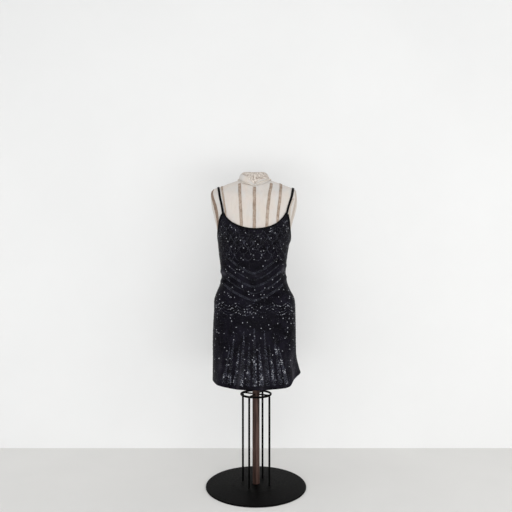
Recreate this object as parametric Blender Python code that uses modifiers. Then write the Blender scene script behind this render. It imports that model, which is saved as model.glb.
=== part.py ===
"""A beaded slip dress on a limbless dress form, with the form's wooden post and iron cage stand.

Metres, +Z up, the front of the dress towards -Y. The origin is on the floor, on the post's axis.
The dress is made of thin cloth walls that stand clear of the form and are open at the neck,
the armholes and the hem. The tables below are in millimetres, with heights above the floor.
"""

import math

import bmesh
import bpy
import numpy as np
from mathutils import Vector
from mathutils.bvhtree import BVHTree

MM = 0.001
PART_NAME = "slip_dress_on_form"
QUARTER = math.pi / 2

# The body's cross-sections. The half width is to the side, front and back are depths from the
# post's axis, and roundness 2 is an ellipse and more is squarer. Front drop and back rise tilt
# the rings at the shoulders. Ease is how far the dress's outer face stands off the body there.
# The two lowest rows lie below the body and only shape the skirt.
BODY_COLUMNS = ("height", "half_width", "middle", "front", "back", "roundness",
                "front_drop", "back_rise", "side_ease", "front_ease", "back_ease")
BODY_ROWS = (
    (415, 160, -5, 97, 102, 2.2, 0, 0, 17.5, 24, 25),
    (480, 160, -5, 97, 102, 2.2, 0, 0, 17, 21, 21),
    (545, 161, -6, 97, 102, 2.2, 0, 0, 14, 17, 17),
    (608, 164, -7, 101, 108, 2.2, 0, 0, 10.3, 12, 11),
    (688, 167, -6.3, 104, 113, 2.2, 0, 0, 5.7, 7, 6),
    (738, 166, -5.3, 103, 111, 2.2, 0, 0, 4.7, 6, 5),
    (780, 164, -6.3, 98, 102, 2.2, 0, 0, 5, 6, 5),
    (801, 157.5, -7.2, 94, 94, 2.2, 0, 0, 5.3, 6.5, 6.5),
    (822, 147, -8.8, 90, 87, 2.2, 0, 0, 5.7, 7, 8),
    (856, 133.5, -9, 86, 80, 2.2, 0, 0, 6, 8, 12),
    (885, 129, -9.5, 87, 78, 2.2, 0, 0, 6, 8, 13),
    (927, 133, -11.5, 94, 81, 2.2, 0, 0, 5, 8, 11),
    (969, 138.5, -11.5, 104, 88, 2.2, 0, 0, 4.5, 7, 8),
    (1011, 144, -10, 113, 95, 2.25, 0, 0, 4.5, 6, 6),
    (1032, 148.3, -7.5, 115, 98, 2.3, 0, 0, 4.7, 6, 5),
    (1083, 156, -8.5, 112, 102, 2.3, 0, 0, 4.3, 4.5, 4),
    (1116, 164.5, -8, 106, 104, 2.4, 0, 0, 4, 4, 4),
    (1143, 172, -7, 100, 104, 2.5, 0, 0, 4, 4, 4),
    (1170, 178, -7, 94, 103, 2.6, 0, 0, 4, 4, 4),
    (1200, 180.5, -8.5, 88, 100, 2.7, 0, 0, 4, 4, 4),
    (1223, 179, -10, 83, 95, 2.6, 8, 2, 4, 4, 4),
    (1236, 175, -9, 79, 91, 2.4, 14, 4, 4, 4, 4),
    (1247, 165, -7, 74, 86, 2.2, 18, 6, 4, 4, 4),
    (1254, 144, -6, 70, 82, 2.1, 20, 8, 4, 4, 4),
    (1267, 111, -6, 65, 74, 2.0, 23, 12, 4, 4, 4),
    (1282, 67, -6, 60, 62, 2.0, 28, 16, 4, 4, 4),
)
BODY_BOTTOM = 545
BODY_TOP = 1282
BODY_SIDES = 36
TILT_POWER = 1.8
LONGEST_RING_STEP = 30

# The bust: two soft rises on the front.
BUST_HEIGHT = 1036
BUST_SIDE = 76
BUST_RISE = 11
BUST_SPREAD = 58
BUST_TALL = 52

# The neck block, ring by ring from the seam up. Each ring is an ellipse.
# The columns are height, half width, middle, front, back, front drop and back rise.
NECK_ROWS = (
    (1282, 67, -6, 60, 62, 28, 16),
    (1294, 62.5, -7, 56, 58, 20, 13),
    (1306, 57, -8, 51, 53, 12, 9),
    (1314, 48.5, -8, 44, 45, 8, 7),
    (1317, 40, -8, 37, 38, 6, 6),
)
ELLIPSE = 2
NECK_CORD_RADIUS = 2.2
CORD_SLACK = 0.1
SETTLING_ROUNDS = 30

GAP = 0.3
SHARP_ANGLE = 50

# The dress.
CLOTH = 1.6
SEAM_GAP = 0.5
EDGE_GAP = 0.5
BINDING_WIDTH = 8
BINDING_PROUD = 0.5
BINDING_THICK = 2.6
BINDING_TALLEST = 17
BINDING_SHARES = (0, 0.5, 1)
SLOPE_STEP = 1.5
PANEL_ROWS = 23
ARMHOLE_CELLS = 6
NECKLINE_CELLS = 14
EDGE_ROUNDS = 12
STRAP_WIDTH = 9
STRAP_THICK = 2
STRAP_LIFT = 0.8
STRAP_END_LIFT = 2.1
STRAP_END_SHARE = 1 / 6

# The finished neckline, across the front and the back, from one strap corner to the other.
# Its columns are x and height.
FRONT_NECKLINE = (
    (-128.5, 1141), (-122, 1127), (-105, 1109), (-88, 1098), (-64, 1087), (-36, 1079.5), (-4, 1076.5),
    (28, 1079), (56, 1086), (76, 1095), (92, 1106), (105, 1119), (114, 1130), (120, 1141),
)
BACK_NECKLINE = (
    (-131.5, 1140), (-118, 1116), (-100, 1099), (-76, 1086), (-42, 1077), (-6, 1074),
    (30, 1077), (64, 1086), (88, 1099), (106, 1116), (119, 1140),
)
FRONT_CORNERS = (-133, 124.5)
BACK_CORNERS = (-136, 123.5)
FRONT_CORNER_HEIGHT = 1141
BACK_CORNER_HEIGHT = 1140
UNDERARM_HEIGHT = 1035

# How an armhole drops from its strap corner to the side seam: the share of the way round, and
# the share of the drop.
ARMHOLE_DROP = (
    (0, 0), (0.15, 0.13), (0.3, 0.3), (0.5, 0.55), (0.7, 0.79), (0.85, 0.935), (0.95, 0.99), (1, 1),
)

# The hem's height by the angle round the body, 0 at the front and 90 at the wearer's left side,
# which is on the right seen from the front. Its columns are angle and height.
HEM_HEIGHTS = (
    (-180, 441), (-135, 440), (-90, 444), (-60, 438), (-40, 434), (-20, 430), (0, 428), (20, 429.5),
    (40, 431), (50, 434), (60, 444), (68, 456), (78, 469), (90, 475), (110, 462), (135, 446), (180, 441),
)

# The skirt's folds. Each is a soft rise, or a trough if its depth is below zero, that fades out
# upwards from the hem. Its columns are the angle that it lies at, how far round it spreads, the
# height where it ends, and its depth.
FOLDS = (
    (92, 15, 560, 16),
    (66, 9, 640, -5),
    (50, 10, 600, 2.5),
    (118, 11, 620, -6),
    (138, 12, 600, 4),
    (-74, 12, 580, -3),
    (-112, 14, 600, 5),
    (-146, 13, 620, -5),
    (176, 16, 610, 4),
)
FOLD_POWER = 1.6
FOLD_MOST = 1.1

# Twill tapes on the body's front, over its shoulders and on its back. Each is laid by rays that
# fan out in a side plane from this height on the post's line, and its path gives the sideways
# place at each angle: 0 is straight ahead, 90 is straight up and 180 is straight back. Its
# columns are name, width, fan height and path.
TAPES = (
    ("tape_front_centre", 13, 1100, ((-26, -7), (66.5, -6.5))),
    ("tape_front_left", 12, 1100, ((-26, -58), (0, -59), (76, -68))),
    ("tape_front_right", 12, 1100, ((-26, 42), (0, 44), (37, 49), (77.5, 64))),
    ("tape_shoulder_left", 7, 1100, ((-20, -120.5), (25, -123.5), (90, -143), (155, -121), (200, -118))),
    ("tape_shoulder_right", 11, 1100, ((-24, 86), (12, 88), (90, 104), (160, 94), (204, 92))),
    ("tape_shoulder_outer", 7, 1185, ((-42, 136), (-24, 137), (-12, 141), (0, 146), (10, 151), (18, 154.5))),
    ("tape_back_centre", 13, 1100, ((114, -7), (204, -7))),
    ("tape_back_left", 12, 1100, ((106, -68), (204, -62))),
    ("tape_back_right", 12, 1100, ((106, 56), (204, 50))),
)
TAPE_THICK = 0.8
TAPE_LIFT = 0.5
TAPE_STEP = 9
ACROSS = (-0.5, 0, 0.5)
STRAP_FAN_HEIGHT = 1185
CLEARING_ROUNDS = 6
CLEARING_SLACK = 0.02
CELL_SHARES = (0, 0.25, 0.5, 0.75, 1)
LOWEST_FAN_ANGLE = -70
HIGHEST_FAN_ANGLE = 60
HALVINGS = 24

# The oval tape round each arm end, seen from the side. It is laid by rays from out there that aim
# at places further in, drawn together by the two shares. The columns are name, the way to its
# side, and how far the oval reaches up and forward.
ARM_TAPES = (
    ("arm_tape_left", -1, 136, 69),
    ("arm_tape_right", 1, 136, 59),
)
ARM_TAPE_HEIGHT = 1140
ARM_TAPE_WIDTH = 13
ARM_TAPE_SAMPLES = 30
ARM_RAY_START = 400
ARM_RAY_END = 60
ARM_RAY_DEEP_SHARE = 0.75
ARM_RAY_TALL_SHARE = 0.6

# Shoulder straps. The columns are name, and x in front, a quarter of the way over, on top and
# behind.
STRAPS = (
    ("strap_left", -133, -149.5, -157.5, -136),
    ("strap_right", 124.5, 147, 155, 123.5),
)

# The stand.
BOARD_THICK = 14
BOARD_SHARE = 0.97
POST_RADIUS = 15
POST_SIDES = 32
RING_HEIGHT = 386
RING_RADIUS = 62.2
RING_STEPS = 40
RING_SIDES = 8
IRON_RADIUS = 4.3
ARM_RADIUS = 3.2
ARM_SIDES = 10
BAR_SIDES = 12
BAR_TURN = 26.7
BAR_COUNT = 4
BASE_RADIUS = 210
BASE_RIM = 6
BASE_CROWN = 11
BASE_CROWN_RADIUS = 90
BASE_EDGE = 2
BASE_STEPS = 64
TURNING_MERGE = 0.05

# Finishes: colour, roughness and metallic value.
FINISHES = {
    "dress": ((0.010, 0.010, 0.014), 0.45, 0.0),
    "binding": ((0.008, 0.008, 0.010), 0.60, 0.0),
    "linen": ((0.68, 0.62, 0.57), 0.90, 0.0),
    "neck_cloth": ((0.55, 0.47, 0.41), 0.92, 0.0),
    "cord": ((0.72, 0.68, 0.62), 0.85, 0.0),
    "tape": ((0.40, 0.32, 0.26), 0.88, 0.0),
    "wood": ((0.10, 0.055, 0.04), 0.50, 0.0),
    "iron": ((0.012, 0.012, 0.013), 0.48, 0.85),
}


class Curve:
    """A smooth curve through a table's rows, by its first column, that never overshoots a row."""

    def __init__(self, rows):
        table = np.array(rows, dtype=float)
        self.at = table[:, 0]
        self.values = table[:, 1:]
        steps = np.diff(self.at)[:, None]
        rises = np.diff(self.values, axis=0) / steps
        slopes = np.zeros_like(self.values)
        slopes[0] = rises[0]
        slopes[-1] = rises[-1]
        before = rises[:-1]
        after = rises[1:]
        same_way = before * after > 0
        total = np.where(same_way, before + after, 1.0)
        slopes[1:-1] = np.where(same_way, 2 * before * after / total, 0.0)
        self.slopes = slopes

    def __call__(self, where):
        where = min(max(where, self.at[0]), self.at[-1])
        i = min(int(np.searchsorted(self.at, where, side="right")) - 1, len(self.at) - 2)
        span = self.at[i + 1] - self.at[i]
        t = (where - self.at[i]) / span
        start = (1 + 2 * t) * (1 - t) ** 2 * self.values[i]
        end = t * t * (3 - 2 * t) * self.values[i + 1]
        leave = t * (1 - t) ** 2 * span * self.slopes[i]
        arrive = t * t * (t - 1) * span * self.slopes[i + 1]
        return start + end + leave + arrive


body_curve = Curve(BODY_ROWS)
hem_curve = Curve(HEM_HEIGHTS)
armhole_curve = Curve(ARMHOLE_DROP)
front_neckline_curve = Curve(FRONT_NECKLINE)
back_neckline_curve = Curve(BACK_NECKLINE)


def section_at(height):
    """The body's cross-section at a height, as a dictionary of the table's columns."""
    return dict(zip(BODY_COLUMNS[1:], body_curve(height)))


def signed_power(value, power):
    return math.copysign(abs(value) ** power, value)


def oval_point(angle, half_width, front, back, roundness):
    """A point on an oval and its outward direction. The angle is 0 in front and grows towards +X."""
    depth = front if math.cos(angle) >= 0 else back
    across = signed_power(math.sin(angle), 2 / roundness)
    along = signed_power(math.cos(angle), 2 / roundness)
    out_x = signed_power(math.sin(angle), 2 - 2 / roundness) / half_width
    out_y = -signed_power(math.cos(angle), 2 - 2 / roundness) / depth
    length = math.hypot(out_x, out_y)
    return half_width * across, -depth * along, out_x / length, out_y / length


def bust_rise(x, height, middle, rise):
    """How far the bust stands forward at this place on the front."""
    total = 0
    for side in (-BUST_SIDE, BUST_SIDE):
        away = ((x - middle - side) / BUST_SPREAD) ** 2 + ((height - BUST_HEIGHT) / BUST_TALL) ** 2
        total += rise * math.exp(-away)
    return total


def body_point(angle, height):
    """A point on the body, in millimetres."""
    row = section_at(height)
    x, y, _, _ = oval_point(angle, row["half_width"], row["front"], row["back"], row["roundness"])
    ahead = math.cos(angle)
    if ahead > 0:
        y -= bust_rise(x + row["middle"], height, row["middle"], BUST_RISE) * ahead
        height -= row["front_drop"] * ahead ** TILT_POWER
    else:
        height += row["back_rise"] * abs(ahead) ** TILT_POWER
    return Vector((x + row["middle"], y, height))


def degrees_round(angle):
    """The angle in degrees, from -180 to 180."""
    return (math.degrees(angle) + 180) % 360 - 180


def hem_height(angle):
    return hem_curve(degrees_round(angle))[0]


def fold_depth(angle, height):
    """How far the skirt's folds push the cloth out, or in, at this place."""
    total = 0
    for centre, spread, top, depth in FOLDS:
        turn = degrees_round(angle - math.radians(centre))
        rise = min(max((top - height) / (top - hem_curve(centre)[0]), 0), FOLD_MOST)
        total += depth * math.exp(-(turn / spread) ** 2) * rise ** FOLD_POWER
    return total


def dress_point(angle, height, out=0.0):
    """A point on the dress's outer face, moved out by a distance, in millimetres."""
    row = section_at(height)
    x, y, out_x, out_y = oval_point(
        angle,
        row["half_width"] + row["side_ease"],
        row["front"] + row["front_ease"],
        row["back"] + row["back_ease"],
        row["roundness"],
    )
    ahead = math.cos(angle)
    if ahead > 0:
        y -= bust_rise(x + row["middle"], height, row["middle"], BUST_RISE) * ahead
    push = out + fold_depth(angle, height)
    return Vector((x + row["middle"] + out_x * push, y + out_y * push, height))


def angle_of_x(x, height, behind):
    """The angle round the dress at which its outer face has this x, in front or behind."""
    row = section_at(height)
    share = (x - row["middle"]) / (row["half_width"] + row["side_ease"])
    across = math.asin(signed_power(min(max(share, -1), 1), row["roundness"] / 2))
    if not behind:
        return across
    return math.pi - across


class Side:
    """The front or the back of the dress: its corners, its top edge and its columns.

    Angles grow anticlockwise seen from above: the front runs from the left seam to the right
    one, and the back from the right seam to the left one.
    """

    def __init__(self, behind):
        self.behind = behind
        self.centre = math.pi if behind else 0.0
        self.corner_height = BACK_CORNER_HEIGHT if behind else FRONT_CORNER_HEIGHT
        self.neckline = back_neckline_curve if behind else front_neckline_curve
        half = STRAP_WIDTH / 2
        self.corners = []
        for sign, x in zip((-1, 1), BACK_CORNERS if behind else FRONT_CORNERS):
            places = (x + sign * half, x, x - sign * half)
            self.corners.append([angle_of_x(place, self.corner_height, behind) for place in places])
        if behind:
            self.corners.reverse()
        row = section_at(UNDERARM_HEIGHT)
        depth = row["back"] + row["back_ease"] if behind else row["front"] + row["front_ease"]
        short = math.asin((SEAM_GAP / 2 / depth) ** (row["roundness"] / 2))
        self.seams = (self.centre - QUARTER + short, self.centre + QUARTER - short)

    def columns(self):
        """The angles of the panel's columns, from one side seam to the other."""
        first_outer, first_middle, first_inner = self.corners[0]
        last_outer, last_middle, last_inner = self.corners[1]
        stops = (
            (self.seams[0], first_outer, ARMHOLE_CELLS),
            (first_outer, first_middle, 1),
            (first_middle, first_inner, 1),
            (first_inner, last_inner, NECKLINE_CELLS),
            (last_inner, last_middle, 1),
            (last_middle, last_outer, 1),
            (last_outer, self.seams[1], ARMHOLE_CELLS),
        )
        angles = []
        for start, end, cells in stops:
            angles += [start + (end - start) * i / cells for i in range(cells)]
        return angles + [self.seams[1]]

    def edge_height(self, angle):
        """The height of the finished top edge on this column."""
        turn = angle - self.centre
        outer, _, inner = self.corners[1 if turn > 0 else 0]
        corner_turn = abs(outer - self.centre)
        if abs(turn) >= corner_turn:
            way = (abs(turn) - corner_turn) / (QUARTER - corner_turn)
            return self.corner_height + (UNDERARM_HEIGHT - self.corner_height) * armhole_curve(way)[0]
        if abs(turn) >= abs(inner - self.centre):
            return self.corner_height
        height = self.corner_height
        for _ in range(EDGE_ROUNDS):
            height = self.neckline(dress_point(angle, height).x)[0]
        return height

    def binding_height(self, angle):
        """How tall the binding is on this column: its width, measured across its slope."""
        step = math.radians(SLOPE_STEP)
        low = dress_point(angle - step, self.edge_height(angle - step))
        high = dress_point(angle + step, self.edge_height(angle + step))
        level = math.hypot(high.x - low.x, high.y - low.y)
        slope = abs(high.z - low.z) / level
        return min(BINDING_WIDTH * math.hypot(1, slope), BINDING_TALLEST)


def grid_mesh(name, points):
    """An open sheet from rows of points, its faces pointing out for rows that run upwards
    and columns that run anticlockwise seen from above."""
    mesh = bmesh.new()
    rows = [[mesh.verts.new(point * MM) for point in row] for row in points]
    for lower, upper in zip(rows, rows[1:]):
        for i in range(len(lower) - 1):
            mesh.faces.new((lower[i], lower[i + 1], upper[i + 1], upper[i]))
    return finish_mesh(name, mesh)


def cloth_wall(name, outer, inner):
    """A closed wall between an outer and an inner sheet of points, with a rim all round.

    The sheets meet their neighbours at a seam column for column, which a thickness along the
    mesh's own normals would not keep.
    """
    mesh = bmesh.new()
    sheets = []
    for points, flip in ((outer, False), (inner, True)):
        rows = [[mesh.verts.new(point * MM) for point in row] for row in points]
        for lower, upper in zip(rows, rows[1:]):
            for i in range(len(lower) - 1):
                corners = (lower[i], lower[i + 1], upper[i + 1], upper[i])
                mesh.faces.new(corners[::-1] if flip else corners)
        sheets.append(rim_of(rows))
    outer_rim, inner_rim = sheets
    count = len(outer_rim)
    for i in range(count):
        j = (i + 1) % count
        mesh.faces.new((outer_rim[j], outer_rim[i], inner_rim[i], inner_rim[j]))
    shape = finish_mesh(name, mesh)
    shape.data.set_sharp_from_angle(angle=math.radians(SHARP_ANGLE))
    return shape


def rim_of(rows):
    """The corners round a grid, anticlockwise from its first corner."""
    first, last = rows[0], rows[-1]
    right = [row[-1] for row in rows[1:-1]]
    left = [row[0] for row in rows[1:-1]]
    return first + right + last[::-1] + left[::-1]


def loft_solid(name, rings):
    """A closed solid through rings of points, with a middle point at each end."""
    mesh = bmesh.new()
    loops = [[mesh.verts.new(point * MM) for point in ring] for ring in rings]
    count = len(rings[0])
    for lower, upper in zip(loops, loops[1:]):
        for i in range(count):
            j = (i + 1) % count
            mesh.faces.new((lower[i], lower[j], upper[j], upper[i]))
    for loop, ring, flip in ((loops[0], rings[0], True), (loops[-1], rings[-1], False)):
        middle = sum(ring, Vector()) / count
        centre = mesh.verts.new(middle * MM)
        for i in range(count):
            j = (i + 1) % count
            corner = (loop[j], loop[i], centre) if flip else (loop[i], loop[j], centre)
            mesh.faces.new(corner)
    return finish_mesh(name, mesh)


def finish_mesh(name, mesh):
    """Turn a bmesh into an object in the part's collection, shaded smooth."""
    data = bpy.data.meshes.new(name)
    mesh.to_mesh(data)
    mesh.free()
    data.shade_smooth()
    shape = bpy.data.objects.new(name, data)
    bpy.data.collections[PART_NAME].objects.link(shape)
    return shape


def thicken(sheet, thickness):
    """Give an open sheet a thickness, inwards from the face that it was drawn on."""
    solid = sheet.modifiers.new("thickness", "SOLIDIFY")
    solid.thickness = thickness * MM
    solid.offset = -1
    solid.use_even_offset = True
    return sheet


def finish_as(shape, finish):
    """Give an object its own material."""
    colour, roughness, metallic = FINISHES[finish]
    material = bpy.data.materials.new(shape.name + "_" + finish)
    material.use_nodes = True
    shader = material.node_tree.nodes["Principled BSDF"]
    shader.inputs["Base Color"].default_value = (*colour, 1)
    shader.inputs["Roughness"].default_value = roughness
    shader.inputs["Metallic"].default_value = metallic
    shape.data.materials.append(material)
    return shape


def take_primitive(name):
    """Name the primitive that was just added and move it to the part's collection."""
    shape = bpy.context.active_object
    shape.name = name
    shape.data.name = name
    for collection in list(shape.users_collection):
        collection.objects.unlink(shape)
    bpy.data.collections[PART_NAME].objects.link(shape)
    return shape


def ring_angles(count):
    return [2 * math.pi * i / count for i in range(count)]


def ring_heights():
    """The heights of the body's rings: the table's own rows, with steps between far ones."""
    own = [row[0] for row in BODY_ROWS if BODY_BOTTOM <= row[0] <= BODY_TOP]
    heights = [own[0]]
    for low, high in zip(own, own[1:]):
        cells = math.ceil((high - low) / LONGEST_RING_STEP)
        heights += [low + (high - low) * (i + 1) / cells for i in range(cells)]
    return heights


def make_body():
    rings = [[body_point(angle, height) for angle in ring_angles(BODY_SIDES)] for height in ring_heights()]
    return finish_as(loft_solid("form_body", rings), "linen")


def neck_ring(row, lift=0.0):
    """One ring of the neck block."""
    height, half_width, middle, front, back, front_drop, back_rise = row
    points = []
    for angle in ring_angles(BODY_SIDES):
        x, y, _, _ = oval_point(angle, half_width, front, back, ELLIPSE)
        ahead = math.cos(angle)
        tilt = -front_drop * ahead ** TILT_POWER if ahead > 0 else back_rise * abs(ahead) ** TILT_POWER
        points.append(Vector((x + middle, y, height + tilt + lift)))
    return points


def make_neck():
    rings = [neck_ring(NECK_ROWS[0], GAP)]
    rings += [neck_ring(row) for row in NECK_ROWS[1:]]
    return finish_as(loft_solid("form_neck", rings), "neck_cloth")


def make_neck_cord(surfaces):
    """The cord sewn round the neck seam, settled against the neck and the shoulders."""
    points = []
    reach = NECK_CORD_RADIUS + GAP + CORD_SLACK
    middle = Vector((NECK_ROWS[0][2], 0, 0))
    for seam in neck_ring(NECK_ROWS[0]):
        outward = (seam - middle).to_2d().to_3d().normalized()
        place = seam + outward * reach + Vector((0, 0, reach))
        for _ in range(SETTLING_ROUNDS):
            for surface in surfaces:
                nearest, _, _, distance = surface.find_nearest(place)
                if distance < reach:
                    place += (place - nearest).normalized() * (reach - distance)
        points.append(place)
    curve = bpy.data.curves.new("neck_cord", "CURVE")
    curve.dimensions = "3D"
    curve.bevel_depth = NECK_CORD_RADIUS * MM
    curve.bevel_resolution = 1
    spline = curve.splines.new("POLY")
    spline.points.add(len(points) - 1)
    for target, place in zip(spline.points, points):
        target.co = (*(place * MM), 1)
    spline.use_cyclic_u = True
    cord = bpy.data.objects.new("neck_cord", curve)
    bpy.data.collections[PART_NAME].objects.link(cord)
    return finish_as(cord, "cord")


def surface_of(shape):
    """A search tree of an object's faces, in millimetres."""
    corners = [vertex.co / MM for vertex in shape.data.vertices]
    faces = [tuple(face.vertices) for face in shape.data.polygons]
    return BVHTree.FromPolygons(corners, faces)


def lay_across(surface, origin, forward, side, width, lift):
    """Three points across a tape, each laid on the surface from inside and lifted off it."""
    points = []
    for share in ACROSS:
        start = origin + side * (share * width)
        hit, normal, _, _ = surface.ray_cast(start, forward)
        points.append(hit + normal * lift)
    return points


def clear_strip(surface, rows, lift):
    """Push a strip's points out until the cells between them clear the surface too."""
    cells = [(a, b, i) for a, b in zip(rows, rows[1:]) for i in range(len(a) - 1)]
    for _ in range(CLEARING_ROUNDS):
        for lower, upper, i in cells:
            for up in CELL_SHARES:
                for along in CELL_SHARES:
                    near = lower[i].lerp(lower[i + 1], along)
                    far = upper[i].lerp(upper[i + 1], along)
                    place = near.lerp(far, up)
                    nearest, normal, _, _ = surface.find_nearest(place)
                    short = lift - (place - nearest).dot(normal)
                    if short > CLEARING_SLACK:
                        push = normal * short
                        lower[i] = lower[i] + push * ((1 - up) * (1 - along))
                        lower[i + 1] = lower[i + 1] + push * ((1 - up) * along)
                        upper[i] = upper[i] + push * (up * (1 - along))
                        upper[i + 1] = upper[i + 1] + push * (up * along)
    return rows


def fan_strip(surface, name, width, fan_height, path, lifts, thickness, ends=None):
    """A strip over the body, laid by rays that fan out from inside the chest.

    The path is a list of (angle, x): the angle is 0 straight ahead and 90 straight up. The ends
    are the heights that its first and last row are cut off level at, if any.
    """
    rows = []
    for (angle, x), lift in zip(path, lifts):
        turn = math.radians(angle)
        forward = Vector((0, -math.cos(turn), math.sin(turn)))
        origin = Vector((x, 0, fan_height))
        rows.append(lay_across(surface, origin, forward, Vector((1, 0, 0)), width, lift))
    rows = clear_strip(surface, rows, min(lifts))
    outer = [[point.copy() for point in row] for row in rows]
    for row in outer:
        for i, point in enumerate(row):
            _, normal, _, _ = surface.find_nearest(point)
            row[i] = point + normal * thickness
    if ends:
        for row, height in ((outer[0], ends[0]), (outer[-1], ends[1])):
            for point in row:
                point.z = height
    return thicken(grid_mesh(name, outer), thickness)


def make_tapes(surface):
    for name, width, fan_height, places in TAPES:
        place_curve = Curve(places)
        start, end = places[0][0], places[-1][0]
        cells = math.ceil((end - start) / TAPE_STEP)
        angles = [start + (end - start) * i / cells for i in range(cells + 1)]
        path = [(angle, place_curve(angle)[0]) for angle in angles]
        lifts = [TAPE_LIFT] * len(path)
        finish_as(fan_strip(surface, name, width, fan_height, path, lifts, TAPE_THICK), "tape")


def make_arm_tape(surface, name, sign, reach_up, reach_forward):
    """The oval tape round an arm end, laid from the side."""
    rows = []
    for i in range(ARM_TAPE_SAMPLES + 1):
        turn = 2 * math.pi * (i % ARM_TAPE_SAMPLES) / ARM_TAPE_SAMPLES
        row = []
        for share in ACROSS:
            ahead = -(reach_forward + share * ARM_TAPE_WIDTH) * math.sin(turn)
            up = (reach_up + share * ARM_TAPE_WIDTH) * math.cos(turn)
            place = Vector((sign * ARM_RAY_START, ahead, ARM_TAPE_HEIGHT + up))
            aim_height = ARM_TAPE_HEIGHT + up * ARM_RAY_TALL_SHARE
            aim = Vector((sign * ARM_RAY_END, ahead * ARM_RAY_DEEP_SHARE, aim_height))
            hit, normal, _, _ = surface.ray_cast(place, (aim - place).normalized())
            row.append(hit + normal * TAPE_LIFT)
        rows.append(row)
    rows = clear_strip(surface, rows, TAPE_LIFT)
    shape = bmesh.new()
    loops = []
    for row in rows[:-1]:
        outer = []
        for point in row:
            _, normal, _, _ = surface.find_nearest(point)
            outer.append(shape.verts.new((point + normal * TAPE_THICK) * MM))
        loops.append(outer)
    for i, lower in enumerate(loops):
        upper = loops[(i + 1) % len(loops)]
        for j in range(len(lower) - 1):
            corner = (lower[j], lower[j + 1], upper[j + 1], upper[j])
            shape.faces.new(corner if sign > 0 else corner[::-1])
    return finish_as(thicken(finish_mesh(name, shape), TAPE_THICK), "tape")


def angle_at_height(surface, x, fan_height, height, behind):
    """The fan angle whose ray leaves the body at this height, by halving the range."""
    low, high = LOWEST_FAN_ANGLE, HIGHEST_FAN_ANGLE
    for _ in range(HALVINGS):
        angle = (low + high) / 2
        turn = math.radians(angle)
        forward = Vector((0, math.cos(turn) if behind else -math.cos(turn), math.sin(turn)))
        hit, _, _, _ = surface.ray_cast(Vector((x, 0, fan_height)), forward)
        if hit.z < height:
            low = angle
        else:
            high = angle
    return 180 - angle if behind else angle


def make_straps(surface):
    for name, front_x, mid_x, top_x, back_x in STRAPS:
        behind_x = (top_x + back_x) / 2
        x_curve = Curve(((0, front_x), (0.25, mid_x), (0.5, top_x), (0.75, behind_x), (1, back_x)))
        front_end = FRONT_CORNER_HEIGHT + GAP
        back_end = BACK_CORNER_HEIGHT + GAP
        front_angle = angle_at_height(surface, front_x, STRAP_FAN_HEIGHT, front_end, False)
        back_angle = angle_at_height(surface, back_x, STRAP_FAN_HEIGHT, back_end, True)
        cells = math.ceil((back_angle - front_angle) / TAPE_STEP)
        path = []
        lifts = []
        for i in range(cells + 1):
            share = i / cells
            angle = front_angle + (back_angle - front_angle) * share
            path.append((angle, x_curve(share)[0]))
            near_end = max(1 - min(share, 1 - share) / STRAP_END_SHARE, 0)
            lifts.append(STRAP_LIFT + (STRAP_END_LIFT - STRAP_LIFT) * near_end)
        ends = (front_end, back_end)
        strap = fan_strip(surface, name, STRAP_WIDTH, STRAP_FAN_HEIGHT, path, lifts, STRAP_THICK, ends)
        finish_as(strap, "binding")


def make_panel(side, name):
    """The front or back panel, from the hem up to the bindings."""
    columns = side.columns()
    under_binding = 1 + EDGE_GAP / BINDING_WIDTH
    tops = [side.edge_height(angle) - side.binding_height(angle) * under_binding for angle in columns]
    bottoms = [hem_height(angle) for angle in columns]
    rows = []
    for i in range(PANEL_ROWS + 1):
        share = i / PANEL_ROWS
        rows.append([(angle, low + (high - low) * share)
                     for angle, low, high in zip(columns, bottoms, tops)])
    outer = [[dress_point(angle, height) for angle, height in row] for row in rows]
    inner = [[dress_point(angle, height, -CLOTH) for angle, height in row] for row in rows]
    return finish_as(cloth_wall(name, outer, inner), "dress")


def binding_edges(side, angles):
    """Each column of a binding: its angle and the heights of its lower and its upper edge."""
    edges = []
    for angle in angles:
        top = side.edge_height(angle)
        edges.append((angle, top - side.binding_height(angle), top))
    return edges


def make_binding(name, edges):
    """A strip between a lower and an upper edge, its ends cut back for the gap at the corners."""
    sheets = []
    for out in (BINDING_PROUD, BINDING_PROUD - BINDING_THICK):
        rows = []
        for share in BINDING_SHARES:
            row = [dress_point(angle, low + (high - low) * share, out) for angle, low, high in edges]
            row[0] = row[0] + (row[1] - row[0]).normalized() * GAP
            row[-1] = row[-1] + (row[-2] - row[-1]).normalized() * GAP
            rows.append(row)
        sheets.append(rows)
    return finish_as(cloth_wall(name, *sheets), "binding")


def make_neck_binding(side, name):
    first = side.corners[0][1]
    last = side.corners[1][1]
    angles = [angle for angle in side.columns() if first <= angle <= last]
    return make_binding(name, binding_edges(side, angles))


def make_armhole_binding(before, after, name):
    """One strip round an armhole, from a corner of one side under the arm to the other side's."""
    start = before.corners[1][1]
    end = after.corners[0][1]
    edges = binding_edges(before, [angle for angle in before.columns() if angle >= start][:-1])
    tall = min(before.binding_height(before.seams[1]), after.binding_height(after.seams[0]))
    edges.append((before.centre + QUARTER, UNDERARM_HEIGHT - tall, UNDERARM_HEIGHT))
    edges += binding_edges(after, [angle for angle in after.columns() if angle <= end][1:])
    return make_binding(name, edges)


def make_board():
    """The wooden board that closes the body's underside."""
    rings = []
    for height in (BODY_BOTTOM - GAP - BOARD_THICK, BODY_BOTTOM - GAP):
        ring = []
        for angle in ring_angles(BODY_SIDES):
            point = body_point(angle, BODY_BOTTOM)
            ring.append(Vector((point.x * BOARD_SHARE, point.y * BOARD_SHARE, height)))
        rings.append(ring)
    return finish_as(loft_solid("form_board", rings), "wood")


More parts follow.
